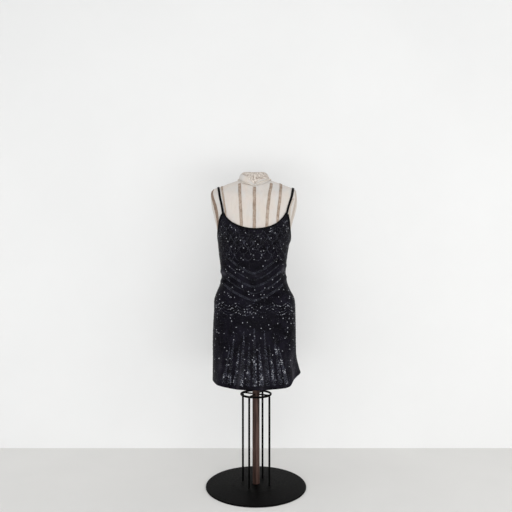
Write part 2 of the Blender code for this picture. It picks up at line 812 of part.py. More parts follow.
def cylinder_between(name, start, end, radius, sides):
    """A round bar between two points."""
    way = end - start
    bpy.ops.mesh.primitive_cylinder_add(
        vertices=sides,
        radius=radius * MM,
        depth=way.length * MM,
        location=(start + end) / 2 * MM,
        rotation=Vector((0, 0, 1)).rotation_difference(way).to_euler(),
    )
    bar = take_primitive(name)
    bar.data.shade_smooth()
    bar.data.set_sharp_from_angle(angle=math.radians(SHARP_ANGLE))
    return bar


def turned(name, profile, steps):
    """A solid of revolution from a profile of (radius, height) that starts and ends on the axis."""
    data = bpy.data.meshes.new(name)
    corners = [(radius * MM, 0, height * MM) for radius, height in profile]
    edges = [(i, i + 1) for i in range(len(profile) - 1)]
    data.from_pydata(corners, edges, [])
    shape = bpy.data.objects.new(name, data)
    bpy.data.collections[PART_NAME].objects.link(shape)
    screw = shape.modifiers.new("turn", "SCREW")
    screw.steps = steps
    screw.render_steps = steps
    screw.use_merge_vertices = True
    screw.merge_threshold = TURNING_MERGE * MM
    return shape


def make_stand():
    post_bottom = Vector((0, 0, BASE_CROWN + GAP))
    post_top = Vector((0, 0, BODY_BOTTOM - GAP - BOARD_THICK - GAP))
    post = cylinder_between("post", post_bottom, post_top, POST_RADIUS, POST_SIDES)
    finish_as(post, "wood")

    bpy.ops.mesh.primitive_torus_add(
        major_radius=RING_RADIUS * MM,
        minor_radius=IRON_RADIUS * MM,
        major_segments=RING_STEPS,
        minor_segments=RING_SIDES,
        location=(0, 0, RING_HEIGHT * MM),
    )
    ring = take_primitive("cage_ring")
    ring.data.shade_smooth()
    finish_as(ring, "iron")

    for i in range(BAR_COUNT):
        turn = math.radians(-90 - BAR_TURN + 360 * i / BAR_COUNT)
        outward = Vector((math.cos(turn), math.sin(turn), 0))
        level = Vector((0, 0, RING_HEIGHT))
        inner = outward * (POST_RADIUS + GAP) + level
        outer = outward * (RING_RADIUS - IRON_RADIUS - GAP) + level
        arm = cylinder_between(f"cage_arm_{i + 1}", inner, outer, ARM_RADIUS, ARM_SIDES)
        finish_as(arm, "iron")
        foot = outward * RING_RADIUS + Vector((0, 0, BASE_CROWN + GAP))
        head = outward * RING_RADIUS + Vector((0, 0, RING_HEIGHT - IRON_RADIUS - GAP))
        bar = cylinder_between(f"cage_bar_{i + 1}", foot, head, IRON_RADIUS, BAR_SIDES)
        finish_as(bar, "iron")

    base = turned("base", (
        (0, BASE_CROWN),
        (BASE_CROWN_RADIUS, BASE_CROWN),
        (BASE_RADIUS - BASE_EDGE, BASE_RIM),
        (BASE_RADIUS, BASE_RIM - BASE_EDGE),
        (BASE_RADIUS, 0),
        (0, 0),
    ), BASE_STEPS)
    finish_as(base, "iron")


def clear_scene():
    for shape in list(bpy.data.objects):
        bpy.data.objects.remove(shape, do_unlink=True)
    collection = bpy.data.collections.new(PART_NAME)
    bpy.context.scene.collection.children.link(collection)


def main():
    clear_scene()
    body = make_body()
    neck = make_neck()
    body_surface = surface_of(body)
    make_neck_cord((body_surface, surface_of(neck)))
    make_tapes(body_surface)
    for name, sign, reach_up, reach_forward in ARM_TAPES:
        make_arm_tape(body_surface, name, sign, reach_up, reach_forward)
    make_board()
    make_stand()
    front = Side(behind=False)
    back = Side(behind=True)
    make_panel(front, "dress_front")
    make_panel(back, "dress_back")
    make_neck_binding(front, "neck_binding_front")
    make_neck_binding(back, "neck_binding_back")
    make_armhole_binding(back, front, "armhole_binding_left")
    make_armhole_binding(front, back, "armhole_binding_right")
    make_straps(body_surface)


main()
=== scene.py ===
"""Looks for the slip dress on its dress form: cloth, beadwork, linen, tapes, wood, iron and light.

Sizes are in millimetres in the tables, heights above the floor, and the front is towards -Y.
Angles round the body are 0 at the front and grow towards +X.
"""
import math

import bpy
import numpy as np
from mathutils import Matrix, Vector
from mathutils.bvhtree import BVHTree


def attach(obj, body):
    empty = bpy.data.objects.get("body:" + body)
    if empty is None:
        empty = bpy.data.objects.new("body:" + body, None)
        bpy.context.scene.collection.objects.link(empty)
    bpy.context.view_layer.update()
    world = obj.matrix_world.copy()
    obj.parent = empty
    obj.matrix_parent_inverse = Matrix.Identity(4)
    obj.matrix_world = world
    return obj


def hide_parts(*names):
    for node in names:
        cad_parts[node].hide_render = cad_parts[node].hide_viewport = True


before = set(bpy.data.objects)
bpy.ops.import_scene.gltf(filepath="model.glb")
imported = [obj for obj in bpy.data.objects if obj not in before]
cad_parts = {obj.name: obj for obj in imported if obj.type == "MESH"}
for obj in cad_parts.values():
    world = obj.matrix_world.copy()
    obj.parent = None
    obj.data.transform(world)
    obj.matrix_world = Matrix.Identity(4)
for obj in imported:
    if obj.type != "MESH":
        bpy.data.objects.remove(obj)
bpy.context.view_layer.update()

MM = 0.001
QUARTER = math.pi / 2
WHOLE = 2 * math.pi
SHARP_ANGLE = 60

# The body's cross-sections: height, half width, middle, front, back, roundness, front drop, back
# rise, and how far the dress stands off at the side, in front and behind.
BODY_ROWS = (
    (415, 160, -5, 97, 102, 2.2, 0, 0, 17.5, 24, 25),
    (480, 160, -5, 97, 102, 2.2, 0, 0, 17, 21, 21),
    (545, 161, -6, 97, 102, 2.2, 0, 0, 14, 17, 17),
    (608, 164, -7, 101, 108, 2.2, 0, 0, 10.3, 12, 11),
    (688, 167, -6.3, 104, 113, 2.2, 0, 0, 5.7, 7, 6),
    (738, 166, -5.3, 103, 111, 2.2, 0, 0, 4.7, 6, 5),
    (780, 164, -6.3, 98, 102, 2.2, 0, 0, 5, 6, 5),
    (801, 157.5, -7.2, 94, 94, 2.2, 0, 0, 5.3, 6.5, 6.5),
    (822, 147, -8.8, 90, 87, 2.2, 0, 0, 5.7, 7, 8),
    (856, 133.5, -9, 86, 80, 2.2, 0, 0, 6, 8, 12),
    (885, 129, -9.5, 87, 78, 2.2, 0, 0, 6, 8, 13),
    (927, 133, -11.5, 94, 81, 2.2, 0, 0, 5, 8, 11),
    (969, 138.5, -11.5, 104, 88, 2.2, 0, 0, 4.5, 7, 8),
    (1011, 144, -10, 113, 95, 2.25, 0, 0, 4.5, 6, 6),
    (1032, 148.3, -7.5, 115, 98, 2.3, 0, 0, 4.7, 6, 5),
    (1083, 156, -8.5, 112, 102, 2.3, 0, 0, 4.3, 4.5, 4),
    (1116, 164.5, -8, 106, 104, 2.4, 0, 0, 4, 4, 4),
    (1143, 172, -7, 100, 104, 2.5, 0, 0, 4, 4, 4),
    (1170, 178, -7, 94, 103, 2.6, 0, 0, 4, 4, 4),
    (1200, 180.5, -8.5, 88, 100, 2.7, 0, 0, 4, 4, 4),
    (1223, 179, -10, 83, 95, 2.6, 8, 2, 4, 4, 4),
    (1236, 175, -9, 79, 91, 2.4, 14, 4, 4, 4, 4),
    (1247, 165, -7, 74, 86, 2.2, 18, 6, 4, 4, 4),
    (1254, 144, -6, 70, 82, 2.1, 20, 8, 4, 4, 4),
    (1267, 111, -6, 65, 74, 2.0, 23, 12, 4, 4, 4),
    (1282, 67, -6, 60, 62, 2.0, 28, 16, 4, 4, 4),
)
HALF_WIDTH, MIDDLE, FRONT, BACK, ROUNDNESS, FRONT_DROP, BACK_RISE = range(7)
SIDE_EASE, FRONT_EASE, BACK_EASE = range(7, 10)
BODY_BOTTOM = 545
BODY_TOP = 1282
TILT_POWER = 1.8
BUST_HEIGHT = 1036
BUST_SIDE = 76
BUST_RISE = 11
BUST_SPREAD = 58
BUST_TALL = 52
NECK_ROWS = (
    (1282, 67, -6, 60, 62, 28, 16),
    (1294, 62.5, -7, 56, 58, 20, 13),
    (1306, 57, -8, 51, 53, 12, 9),
    (1314, 48.5, -8, 44, 45, 8, 7),
    (1317, 40, -8, 37, 38, 6, 6),
)
ELLIPSE = 2
NECK_CORD_RADIUS = 2.2

CLOTH = 1.5
BINDING_WIDTH = 8
BINDING_TALLEST = 17
SLOPE_STEP = 1.5
STRAP_WIDTH = 9
FRONT_NECKLINE = (
    (-128.5, 1141), (-122, 1127), (-105, 1109), (-88, 1098), (-64, 1087), (-36, 1079.5), (-4, 1076.5),
    (28, 1079), (56, 1086), (76, 1095), (92, 1106), (105, 1119), (114, 1130), (120, 1141),
)
BACK_NECKLINE = (
    (-131.5, 1140), (-118, 1116), (-100, 1099), (-76, 1086), (-42, 1077), (-6, 1074),
    (30, 1077), (64, 1086), (88, 1099), (106, 1116), (119, 1140),
)
FRONT_CORNERS = (-133, 124.5)
BACK_CORNERS = (-136, 123.5)
FRONT_CORNER_HEIGHT = 1141
BACK_CORNER_HEIGHT = 1140
UNDERARM_HEIGHT = 1035
SETTLING_ROUNDS = 12
ARMHOLE_DROP = (
    (0, 0), (0.15, 0.13), (0.3, 0.3), (0.5, 0.55), (0.7, 0.79), (0.85, 0.935), (0.95, 0.99), (1, 1),
)
HEM_HEIGHTS = (
    (-180, 441), (-135, 440), (-90, 444), (-60, 438), (-40, 434), (-20, 430), (0, 428), (20, 429.5),
    (40, 431), (50, 434), (60, 444), (68, 456), (78, 469), (90, 475), (110, 462), (135, 446), (180, 441),
)
# The skirt's folds: angle, spread, the height where each ends, and depth.
FOLDS = (
    (92, 15, 560, 16),
    (66, 9, 640, -5),
    (50, 10, 600, 2.5),
    (118, 11, 620, -6),
    (138, 12, 600, 4),
    (-74, 12, 580, -3),
    (-112, 14, 600, 5),
    (-146, 13, 620, -5),
    (176, 16, 610, 4),
)
FOLD_POWER = 1.6
FOLD_MOST = 1.1

# Creases, given one by one: where each starts and ends, as millimetres round the cloth from centre
# front and a height, then its width and its depth. A depth below zero is a trough.
FRONT_CREASES = (
    (-196, 902, -84, 874, 9, 4.2),
    (-192, 884, -100, 858, 8, -3.2),
    (-194, 866, -112, 840, 8, 3.4),
    (-60, 866, 40, 858, 10, -1.8),
    (-48, 880, 66, 876, 8, 1.2),
    (196, 930, 96, 888, 9, 4.0),
    (196, 908, 104, 870, 8, -3.2),
    (198, 884, 120, 850, 8, 3.2),
    (-178, 1010, -112, 1032, 9, -1.0),
    (178, 1012, 112, 1034, 9, -1.0),
    (-30, 1000, -4, 910, 12, -1.2),
    (30, 1004, 10, 912, 12, -1.1),
    (-150, 960, -60, 938, 12, -1.1),
    (156, 968, 66, 940, 12, -1.1),
    (-206, 770, -140, 752, 9, 1.4),
    (208, 766, 138, 748, 9, 1.3),
    (-60, 650, -72, 424, 10, 1.8),
    (-96, 640, -112, 424, 11, -2.2),
    (-150, 660, -170, 428, 11, 1.8),
    (-18, 610, -22, 424, 11, -1.8),
    (24, 640, 30, 424, 10, 1.6),
    (62, 620, 76, 424, 10, -2.0),
    (112, 650, 128, 430, 10, 1.8),
)
# The same for the back, round from centre back.
BACK_CREASES = (
    (-150, 900, 40, 884, 10, 3.0),
    (-110, 876, 120, 868, 9, -2.8),
    (-60, 852, 160, 862, 10, 2.6),
    (-170, 930, -60, 906, 9, -2.2),
    (60, 912, 176, 936, 9, -2.2),
    (-170, 1010, -80, 1040, 10, -1.0),
    (80, 1042, 170, 1012, 10, -1.0),
    (-90, 660, -104, 430, 12, 2.2),
    (-40, 640, -46, 430, 11, -2.2),
    (16, 650, 14, 430, 12, 1.8),
    (60, 640, 70, 430, 11, -2.2),
    (120, 660, 140, 430, 12, 2.2),
)
CREASE_TAPER = 0.3
HEM_CREASE_TAPER = 0.7
HEM_CREASE_HEIGHT = 440
CREASE_BOW = 0.06
# How unevenly deep and wide a crease is: by how much, how often, and the shift to the next one.
CREASE_WAVES = ((0.25, 7, 1.7), (0.2, 5, 2.3))

# Twill tapes on the body: name, width, fan height, and a path of angles and sideways places.
TAPES = (
    ("tape_front_centre", 13, 1100, ((-26, -7), (66.5, -6.5))),
    ("tape_front_left", 12, 1100, ((-26, -58), (0, -59), (76, -68))),
    ("tape_front_right", 12, 1100, ((-26, 42), (0, 44), (37, 49), (77.5, 64))),
    ("tape_shoulder_left", 7, 1100, ((-20, -120.5), (25, -123.5), (90, -143), (155, -121), (200, -118))),
    ("tape_shoulder_right", 11, 1100, ((-24, 86), (12, 88), (90, 104), (160, 94), (204, 92))),
    ("tape_shoulder_outer", 7, 1185, ((-42, 136), (-24, 137), (-12, 141), (0, 146), (10, 151), (18, 154.5))),
    ("tape_back_centre", 13, 1100, ((114, -7), (204, -7))),
    ("tape_back_left", 12, 1100, ((106, -68), (204, -62))),
    ("tape_back_right", 12, 1100, ((106, 56), (204, 50))),
)
TAPE_THICK = 0.8
TAPE_LIFT = 0.4
TAPE_STEP = 2
TAPE_WAVE = 0.35
TAPE_WAVE_TURN = 0.55
# The oval tape round each arm end: name, the way to its side, its reach up and forward, its width.
ARM_TAPES = (
    ("arm_tape_left", -1, 134, 67, 19),
    ("arm_tape_right", 1, 136, 59, 14),
)
ARM_TAPE_HEIGHT = 1140
ARM_TAPE_SAMPLES = 120
ARM_RAY_START = 400
ARM_RAY_END = 60
ARM_RAY_DEEP_SHARE = 0.75
ARM_RAY_TALL_SHARE = 0.6
STRAPS = (
    ("strap_left", -133, -149.5, -157.5, -136),
    ("strap_right", 124.5, 147, 155, 123.5),
)
STRAP_FAN_HEIGHT = 1185
STRAP_LIFT = 0.8
STRAP_END_LIFT = 2.1
STRAP_END_SHARE = 1 / 6
STRAP_STEPS = 90
STRAP_END_DROP = 1.5
STRAP_THICK = 2.0
STRAP_EDGE = 0.55
STRAP_ROLL_UNDER = 0.5
FAN_RANGE = (-70, 60)
HALVINGS = 24
RING_HEIGHT = 386
RING_RADIUS = 62.2
IRON_RADIUS = 4.3


class Curve:
    """A smooth curve through a table's rows, by its first column, that never overshoots a row."""

    def __init__(self, rows):
        table = np.array(rows, dtype=float)
        self.at = table[:, 0]
        self.values = table[:, 1:]
        rises = np.diff(self.values, axis=0) / np.diff(self.at)[:, None]
        before = rises[:-1]
        after = rises[1:]
        same_way = before * after > 0
        total = np.where(same_way, before + after, 1.0)
        slopes = np.where(same_way, 2 * before * after / total, 0.0)
        self.slopes = np.concatenate((rises[:1], slopes, rises[-1:]))

    def __call__(self, where):
        """The other columns at one place or at an array of places, last axis the columns."""
        where = np.clip(np.asarray(where, dtype=float), self.at[0], self.at[-1])
        i = np.clip(np.searchsorted(self.at, where, side="right") - 1, 0, len(self.at) - 2)
        span = (self.at[i + 1] - self.at[i])[..., None]
        t = (where - self.at[i])[..., None] / span
        start = (1 + 2 * t) * (1 - t) ** 2 * self.values[i]
        end = t * t * (3 - 2 * t) * self.values[i + 1]
        leave = t * (1 - t) ** 2 * span * self.slopes[i]
        arrive = t * t * (t - 1) * span * self.slopes[i + 1]
        return start + end + leave + arrive


body_curve = Curve(BODY_ROWS)
neck_curve = Curve(NECK_ROWS)
hem_curve = Curve(HEM_HEIGHTS)
armhole_curve = Curve(ARMHOLE_DROP)


def unit(vectors):
    return vectors / np.linalg.norm(vectors, axis=-1)[..., None]


def smooth_step(value):
    value = np.clip(value, 0, 1)
    return value * value * (3 - 2 * value)


def degrees_round(angle):
    return (np.degrees(angle) + 180) % 360 - 180


def hem_height(angle):
    return hem_curve(degrees_round(angle))[..., 0]


def signed_power(value, power):
    return np.sign(value) * np.abs(value) ** power


def between(table, row, column, ease=lambda part: part):
    """A table's value between its rows and its columns."""
    row = np.clip(row, 0, table.shape[0] - 1.001)
    column = np.clip(column, 0, table.shape[1] - 1.001)
    i, j = row.astype(int), column.astype(int)
    up, side = ease(row - i), ease(column - j)
    low = table[i, j] * (1 - side) + table[i, j + 1] * side
    high = table[i + 1, j] * (1 - side) + table[i + 1, j + 1] * side
    return low * (1 - up) + high * up


def lengths_along(points):
    """How far each point of a path is from its start."""
    steps = np.linalg.norm(np.diff(points, axis=0), axis=1)
    return np.concatenate(([0], np.cumsum(steps)))


def oval(angle, half_width, front, back, roundness):
    """Points on an oval and their outward directions."""
    ahead = np.cos(angle)
    aside = np.sin(angle)
    depth = np.where(ahead >= 0, front, back)
    x = half_width * signed_power(aside, 2 / roundness)
    y = -depth * signed_power(ahead, 2 / roundness)
    out_x = signed_power(aside, 2 - 2 / roundness) / half_width
    out_y = -signed_power(ahead, 2 - 2 / roundness) / depth
    length = np.hypot(out_x, out_y)
    return x, y, out_x / length, out_y / length


def rows_at(curve, angle, height):
    """Angles and heights as arrays of one shape, and the curve's columns at them."""
    angle, height = np.broadcast_arrays(np.asarray(angle, float), np.asarray(height, float))
    return angle, height, np.moveaxis(curve(height), -1, 0)


def tilt(angle, drop, rise):
    """How far a ring that drops in front and rises behind lies above its own height."""
    ahead = np.cos(angle)
    return rise * np.maximum(-ahead, 0) ** TILT_POWER - drop * np.maximum(ahead, 0) ** TILT_POWER


def bust_rise(angle, x, height):
    """How far the bust stands forward at this place on the front."""
    total = 0
    for side in (-BUST_SIDE, BUST_SIDE):
        away = ((x - side) / BUST_SPREAD) ** 2 + ((height - BUST_HEIGHT) / BUST_TALL) ** 2
        total = total + BUST_RISE * np.exp(-away)
    return total * np.maximum(np.cos(angle), 0)


def body_place(angle, height):
    """Points on the form's body."""
    angle, height, row = rows_at(body_curve, angle, height)
    x, y, _, _ = oval(angle, row[HALF_WIDTH], row[FRONT], row[BACK], row[ROUNDNESS])
    z = height + tilt(angle, row[FRONT_DROP], row[BACK_RISE])
    return np.stack((x + row[MIDDLE], y - bust_rise(angle, x, height), z), axis=-1)


def neck_place(angle, height):
    """Points on the neck block, by the height of their ring."""
    angle, height, row = rows_at(neck_curve, angle, height)
    half_width, middle, ahead, behind, drop, rise = row
    x, y, _, _ = oval(angle, half_width, ahead, behind, ELLIPSE)
    return np.stack((x + middle, y, height + tilt(angle, drop, rise)), axis=-1)


def fold_depth(angle, height):
    """How far the skirt's folds push the cloth out, or in."""
    total = 0
    for centre, spread, top, depth in FOLDS:
        turn = degrees_round(angle - math.radians(centre))
        rise = np.clip((top - height) / (top - hem_curve(centre)[0]), 0, FOLD_MOST)
        total = total + depth * np.exp(-(turn / spread) ** 2) * rise ** FOLD_POWER
    return total


def plain_dress(angle, height, out=0.0):
    """Points on the dress's outer face without its creases."""
    angle, height, row = rows_at(body_curve, angle, height)
    depths = (row[FRONT] + row[FRONT_EASE], row[BACK] + row[BACK_EASE])
    x, y, out_x, out_y = oval(angle, row[HALF_WIDTH] + row[SIDE_EASE], *depths, row[ROUNDNESS])
    push = out + fold_depth(angle, height)
    y = y - bust_rise(angle, x, height) + out_y * push
    return np.stack((x + row[MIDDLE] + out_x * push, y, height), axis=-1)


# The cloth's map: its heights, its columns for a whole turn, and its steps from back to back.
MAP_HEIGHTS = np.linspace(415, 1150, 74)
MAP_COLUMNS = 720
MAP_STEPS = 800


class ClothMap:
    """Turns angles into millimetres round the cloth, and back, at any height."""

    def __init__(self):
        angles = np.radians(np.linspace(-180, 180, MAP_COLUMNS + 1))
        along = np.array([lengths_along(plain_dress(angles, height)) for height in MAP_HEIGHTS])
        self.along = along - along[:, MAP_COLUMNS // 2, None]
        shares = np.where(self.along < 0, self.along / -self.along[:, :1], self.along / self.along[:, -1:])
        steps = np.linspace(-1, 1, MAP_STEPS + 1)
        self.back = np.array([np.interp(steps, row, angles) for row in shares])

    def read(self, table, height, column):
        return between(table, (height - MAP_HEIGHTS[0]) / (MAP_HEIGHTS[1] - MAP_HEIGHTS[0]), column)

    def reach(self, height, end=-1):
        """How far it is round from centre front to centre back: end 0 is the way to -X, below zero."""
        return np.interp(height, MAP_HEIGHTS, self.along[:, end])

    def along_at(self, angle, height):
        angle, height = np.broadcast_arrays(np.asarray(angle, float), np.asarray(height, float))
        return self.read(self.along, height, (degrees_round(angle) + 180) * (MAP_COLUMNS / 360))

    def angle_at(self, along, height):
        share = np.where(along < 0, along / -self.reach(height, 0), along / self.reach(height))
        return self.read(self.back, height, (share + 1) * (MAP_STEPS / 2))


cloth = ClothMap()


def crease_depth(angle, height):
    """How far the creases push the cloth out or in."""
    along = cloth.along_at(angle, height)
    from_back = along - np.sign(along) * cloth.reach(height)
    total = np.zeros(along.shape)
    for place, rows in ((along, FRONT_CREASES), (from_back, BACK_CREASES)):
        for i, (s0, h0, s1, h1, width, depth) in enumerate(rows):
            way = np.array((s1 - s0, h1 - h0))
            length = np.hypot(*way)
            way = way / length
            share = ((place - s0) * way[0] + (height - h0) * way[1]) / length
            bow = CREASE_BOW * length * np.sin(np.pi * np.clip(share, 0, 1)) * (-1) ** i
            across = (height - h0) * way[0] - (place - s0) * way[1] - bow
            if min(h0, h1) < HEM_CREASE_HEIGHT:
                taper = smooth_step((share if h1 < h0 else 1 - share) / HEM_CREASE_TAPER)
            else:
                taper = smooth_step(share / CREASE_TAPER) * smooth_step((1 - share) / CREASE_TAPER)
            deep, wide = [1 + much * np.sin(share * often + i * step) for much, often, step in CREASE_WAVES]
            total += depth * deep * taper * np.exp(-(across / (width * wide)) ** 2)
    return total


def dress_place(angle, height, out=0.0):
    """Points on the dress's outer face, creases and all, moved out by a distance."""
    return plain_dress(angle, height, crease_depth(angle, height) + out)


def outward_at(angle, height):
    return plain_dress(angle, height, 1.0) - plain_dress(angle, height)


class Side:
    """The front or the back of the dress: its corners, its top edge and its columns."""

    def __init__(self, behind):
        self.behind = behind
        self.centre = math.pi if behind else 0.0
        self.seams = (self.centre - QUARTER, self.centre + QUARTER)
        self.corner_height = BACK_CORNER_HEIGHT if behind else FRONT_CORNER_HEIGHT
        self.neckline = Curve(BACK_NECKLINE if behind else FRONT_NECKLINE)
        half = STRAP_WIDTH / 2
        self.corners = []
        for sign, x in zip((-1, 1), BACK_CORNERS if behind else FRONT_CORNERS):
            self.corners.append([self.angle_of_x(place) for place in (x + sign * half, x, x - sign * half)])
        if behind:
            self.corners.reverse()

    def angle_of_x(self, x):
        row = body_curve(self.corner_height)
        share = (x - row[MIDDLE]) / (row[HALF_WIDTH] + row[SIDE_EASE])
        across = math.asin(signed_power(min(max(share, -1), 1), row[ROUNDNESS] / 2))
        return math.pi - across if self.behind else across

    def columns(self, armhole, corner, neckline):
        """The angles of the panel's columns, seam to seam, by the cells in each stretch of its top."""
        stops = (self.seams[0], *self.corners[0], *self.corners[1][::-1], self.seams[1])
        cells = (armhole, corner, corner, neckline, corner, corner, armhole)
        parts = [np.linspace(low, high, n, endpoint=False) for low, high, n in zip(stops, stops[1:], cells)]
        return np.concatenate((*parts, self.seams[1:]))

    def edge_height(self, angle):
        """The heights of the finished top edge."""
        angle = np.asarray(angle, float)
        turn = np.abs(angle - self.centre)
        outer, _, inner = np.where(
            angle > self.centre,
            np.reshape(self.corners[1], (3, 1)) - self.centre,
            self.centre - np.reshape(self.corners[0], (3, 1)),
        )
        way = np.clip((turn - outer) / (QUARTER - outer), 0, 1)
        armhole = self.corner_height + (UNDERARM_HEIGHT - self.corner_height) * armhole_curve(way)[..., 0]
        height = np.full(angle.shape, float(self.corner_height))
        for _ in range(SETTLING_ROUNDS):
            height = self.neckline(plain_dress(angle, height)[..., 0])[..., 0]
        edge = np.where(turn >= inner, float(self.corner_height), height)
        return np.where(turn >= outer, armhole, edge)

    def binding_height(self, angle):
        """How tall the binding is: its width, measured across its slope."""
        step = math.radians(SLOPE_STEP)
        low, high = [plain_dress(place, self.edge_height(place)) for place in (angle - step, angle + step)]
        x, y, z = np.moveaxis(high - low, -1, 0)
        return np.minimum(BINDING_WIDTH * np.hypot(1, np.abs(z) / np.hypot(x, y)), BINDING_TALLEST)


front = Side(behind=False)
back = Side(behind=True)


# Making meshes


def make_object(name, points, faces, material, slot=None, smooth=True):
    """A mesh object from points in millimetres. One with a slot is a piece of the part."""
    data = bpy.data.meshes.new(name)
    data.from_pydata((np.asarray(points) * MM).tolist(), [], faces)
    data.update()
    if smooth:
        data.shade_smooth()
    data.materials.append(material)
    shape = bpy.data.objects.new(name, data)
    bpy.context.scene.collection.objects.link(shape)
    if slot:
        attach(shape, "root")
    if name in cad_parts:
        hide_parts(name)
    return shape


def grid_faces(rows, columns, wrap=False):
    """The faces of a grid of points numbered row by row."""
    row = np.arange(rows - 1)[:, None] * columns
    this = np.arange(columns if wrap else columns - 1)
    after = (this + 1) % columns
    corners = (row + this, row + after, row + columns + after, row + columns + this)
    return np.stack(corners, axis=-1).reshape(-1, 4)


def wall(name, outer, inner, material, slot):
    """A closed wall between an outer and an inner grid of points."""
    rows, columns = outer.shape[:2]
    count = rows * columns
    grid = grid_faces(rows, columns)
    at = np.arange(count).reshape(rows, columns)
    rim = np.concatenate((at[0], at[1:, -1], at[-1, -2::-1], at[-2:0:-1, 0]))
    after = np.roll(rim, -1)
    edge = np.stack((after, rim, rim + count, after + count), axis=1)
    faces = np.concatenate((grid, grid[:, ::-1] + count, edge)).tolist()
    points = np.concatenate((outer.reshape(-1, 3), inner.reshape(-1, 3)))
    shape = make_object(name, points, faces, material, slot)
    shape.data.set_sharp_from_angle(angle=math.radians(SHARP_ANGLE))
    return shape


def tube(name, rings, material, slot, closed=True, capped=False):
    """A skin over rings of points; closed joins the last ring to the first."""
    count, sides = rings.shape[:2]
    points = rings.reshape(-1, 3)
    start = len(points)
    faces = (grid_faces(count + closed, sides, wrap=True) % start).tolist()
    if capped:
        points = np.concatenate((points, rings[:1].mean(axis=1), rings[-1:].mean(axis=1)))
        for c in range(sides):
            d = (c + 1) % sides
            faces.append((start, d, c))
            faces.append((start + 1, start - sides + c, start - sides + d))
    return make_object(name, points, faces, material, slot)


def round_rings(centres, across, up, turns, radius):
    """Rings of points round a path, from the two directions across it at each centre."""
    spokes = across[:, None] * np.cos(turns)[:, None] + up[:, None] * np.sin(turns)[:, None]
    return centres[:, None] + spokes * radius[..., None]


# A stitch's two rings of corners, by how far along it they lie, and the corners, aside and up.
GRAIN_RINGS = (-0.3, 0.3)
GRAIN_CORNERS = ((-0.5, 0), (0, 0.5), (0.5, 0), (0, -0.5))
# Each kind of stitching: its pitch, and a stitch's length and width.
DRESS_STITCHES = (3.0, 2.3, 0.7)
TAPE_STITCHES = (4.2, 2.8, 0.6)
CORD_STITCHES = (6.4, 3.4, 1.5)


def stitches(name, paths, pitch, length, width, material, slot):
    """Small thread stitches along paths of points and normals, as one mesh of closed grains."""
    grains = []
    for points, normals in paths:
        at = lengths_along(points)
        marks = np.arange(pitch / 2, at[-1] - pitch / 2, pitch)
        centre, before, after, normal = [
            np.stack([np.interp(marks + shift, at, table[:, i]) for i in range(3)], axis=1)
            for shift, table in ((0, points), (-length / 2, points), (length / 2, points), (0, normals))
        ]
        ahead = unit(after - before)
        across = unit(np.cross(unit(normal), ahead))
        normal = np.cross(ahead, across)
        grain = [centre - ahead * length / 2]
        for reach in GRAIN_RINGS:
            for aside, up in GRAIN_CORNERS:
                grain.append(centre + ahead * reach * length + (across * aside + normal * up) * width)
        grain.append(centre + ahead * length / 2)
        grains.append(np.stack(grain, axis=1).reshape(-1, 3))
    points = np.concatenate(grains)
    faces = []
    for start in range(0, len(points), 10):
        for j in range(4):
            k = (j + 1) % 4
            faces.append((start, start + 1 + k, start + 1 + j))
            faces.append((start + 1 + j, start + 1 + k, start + 5 + k, start + 5 + j))
            faces.append((start + 5 + j, start + 5 + k, start + 9))
    return make_object(name, points, faces, material, slot)


# Materials


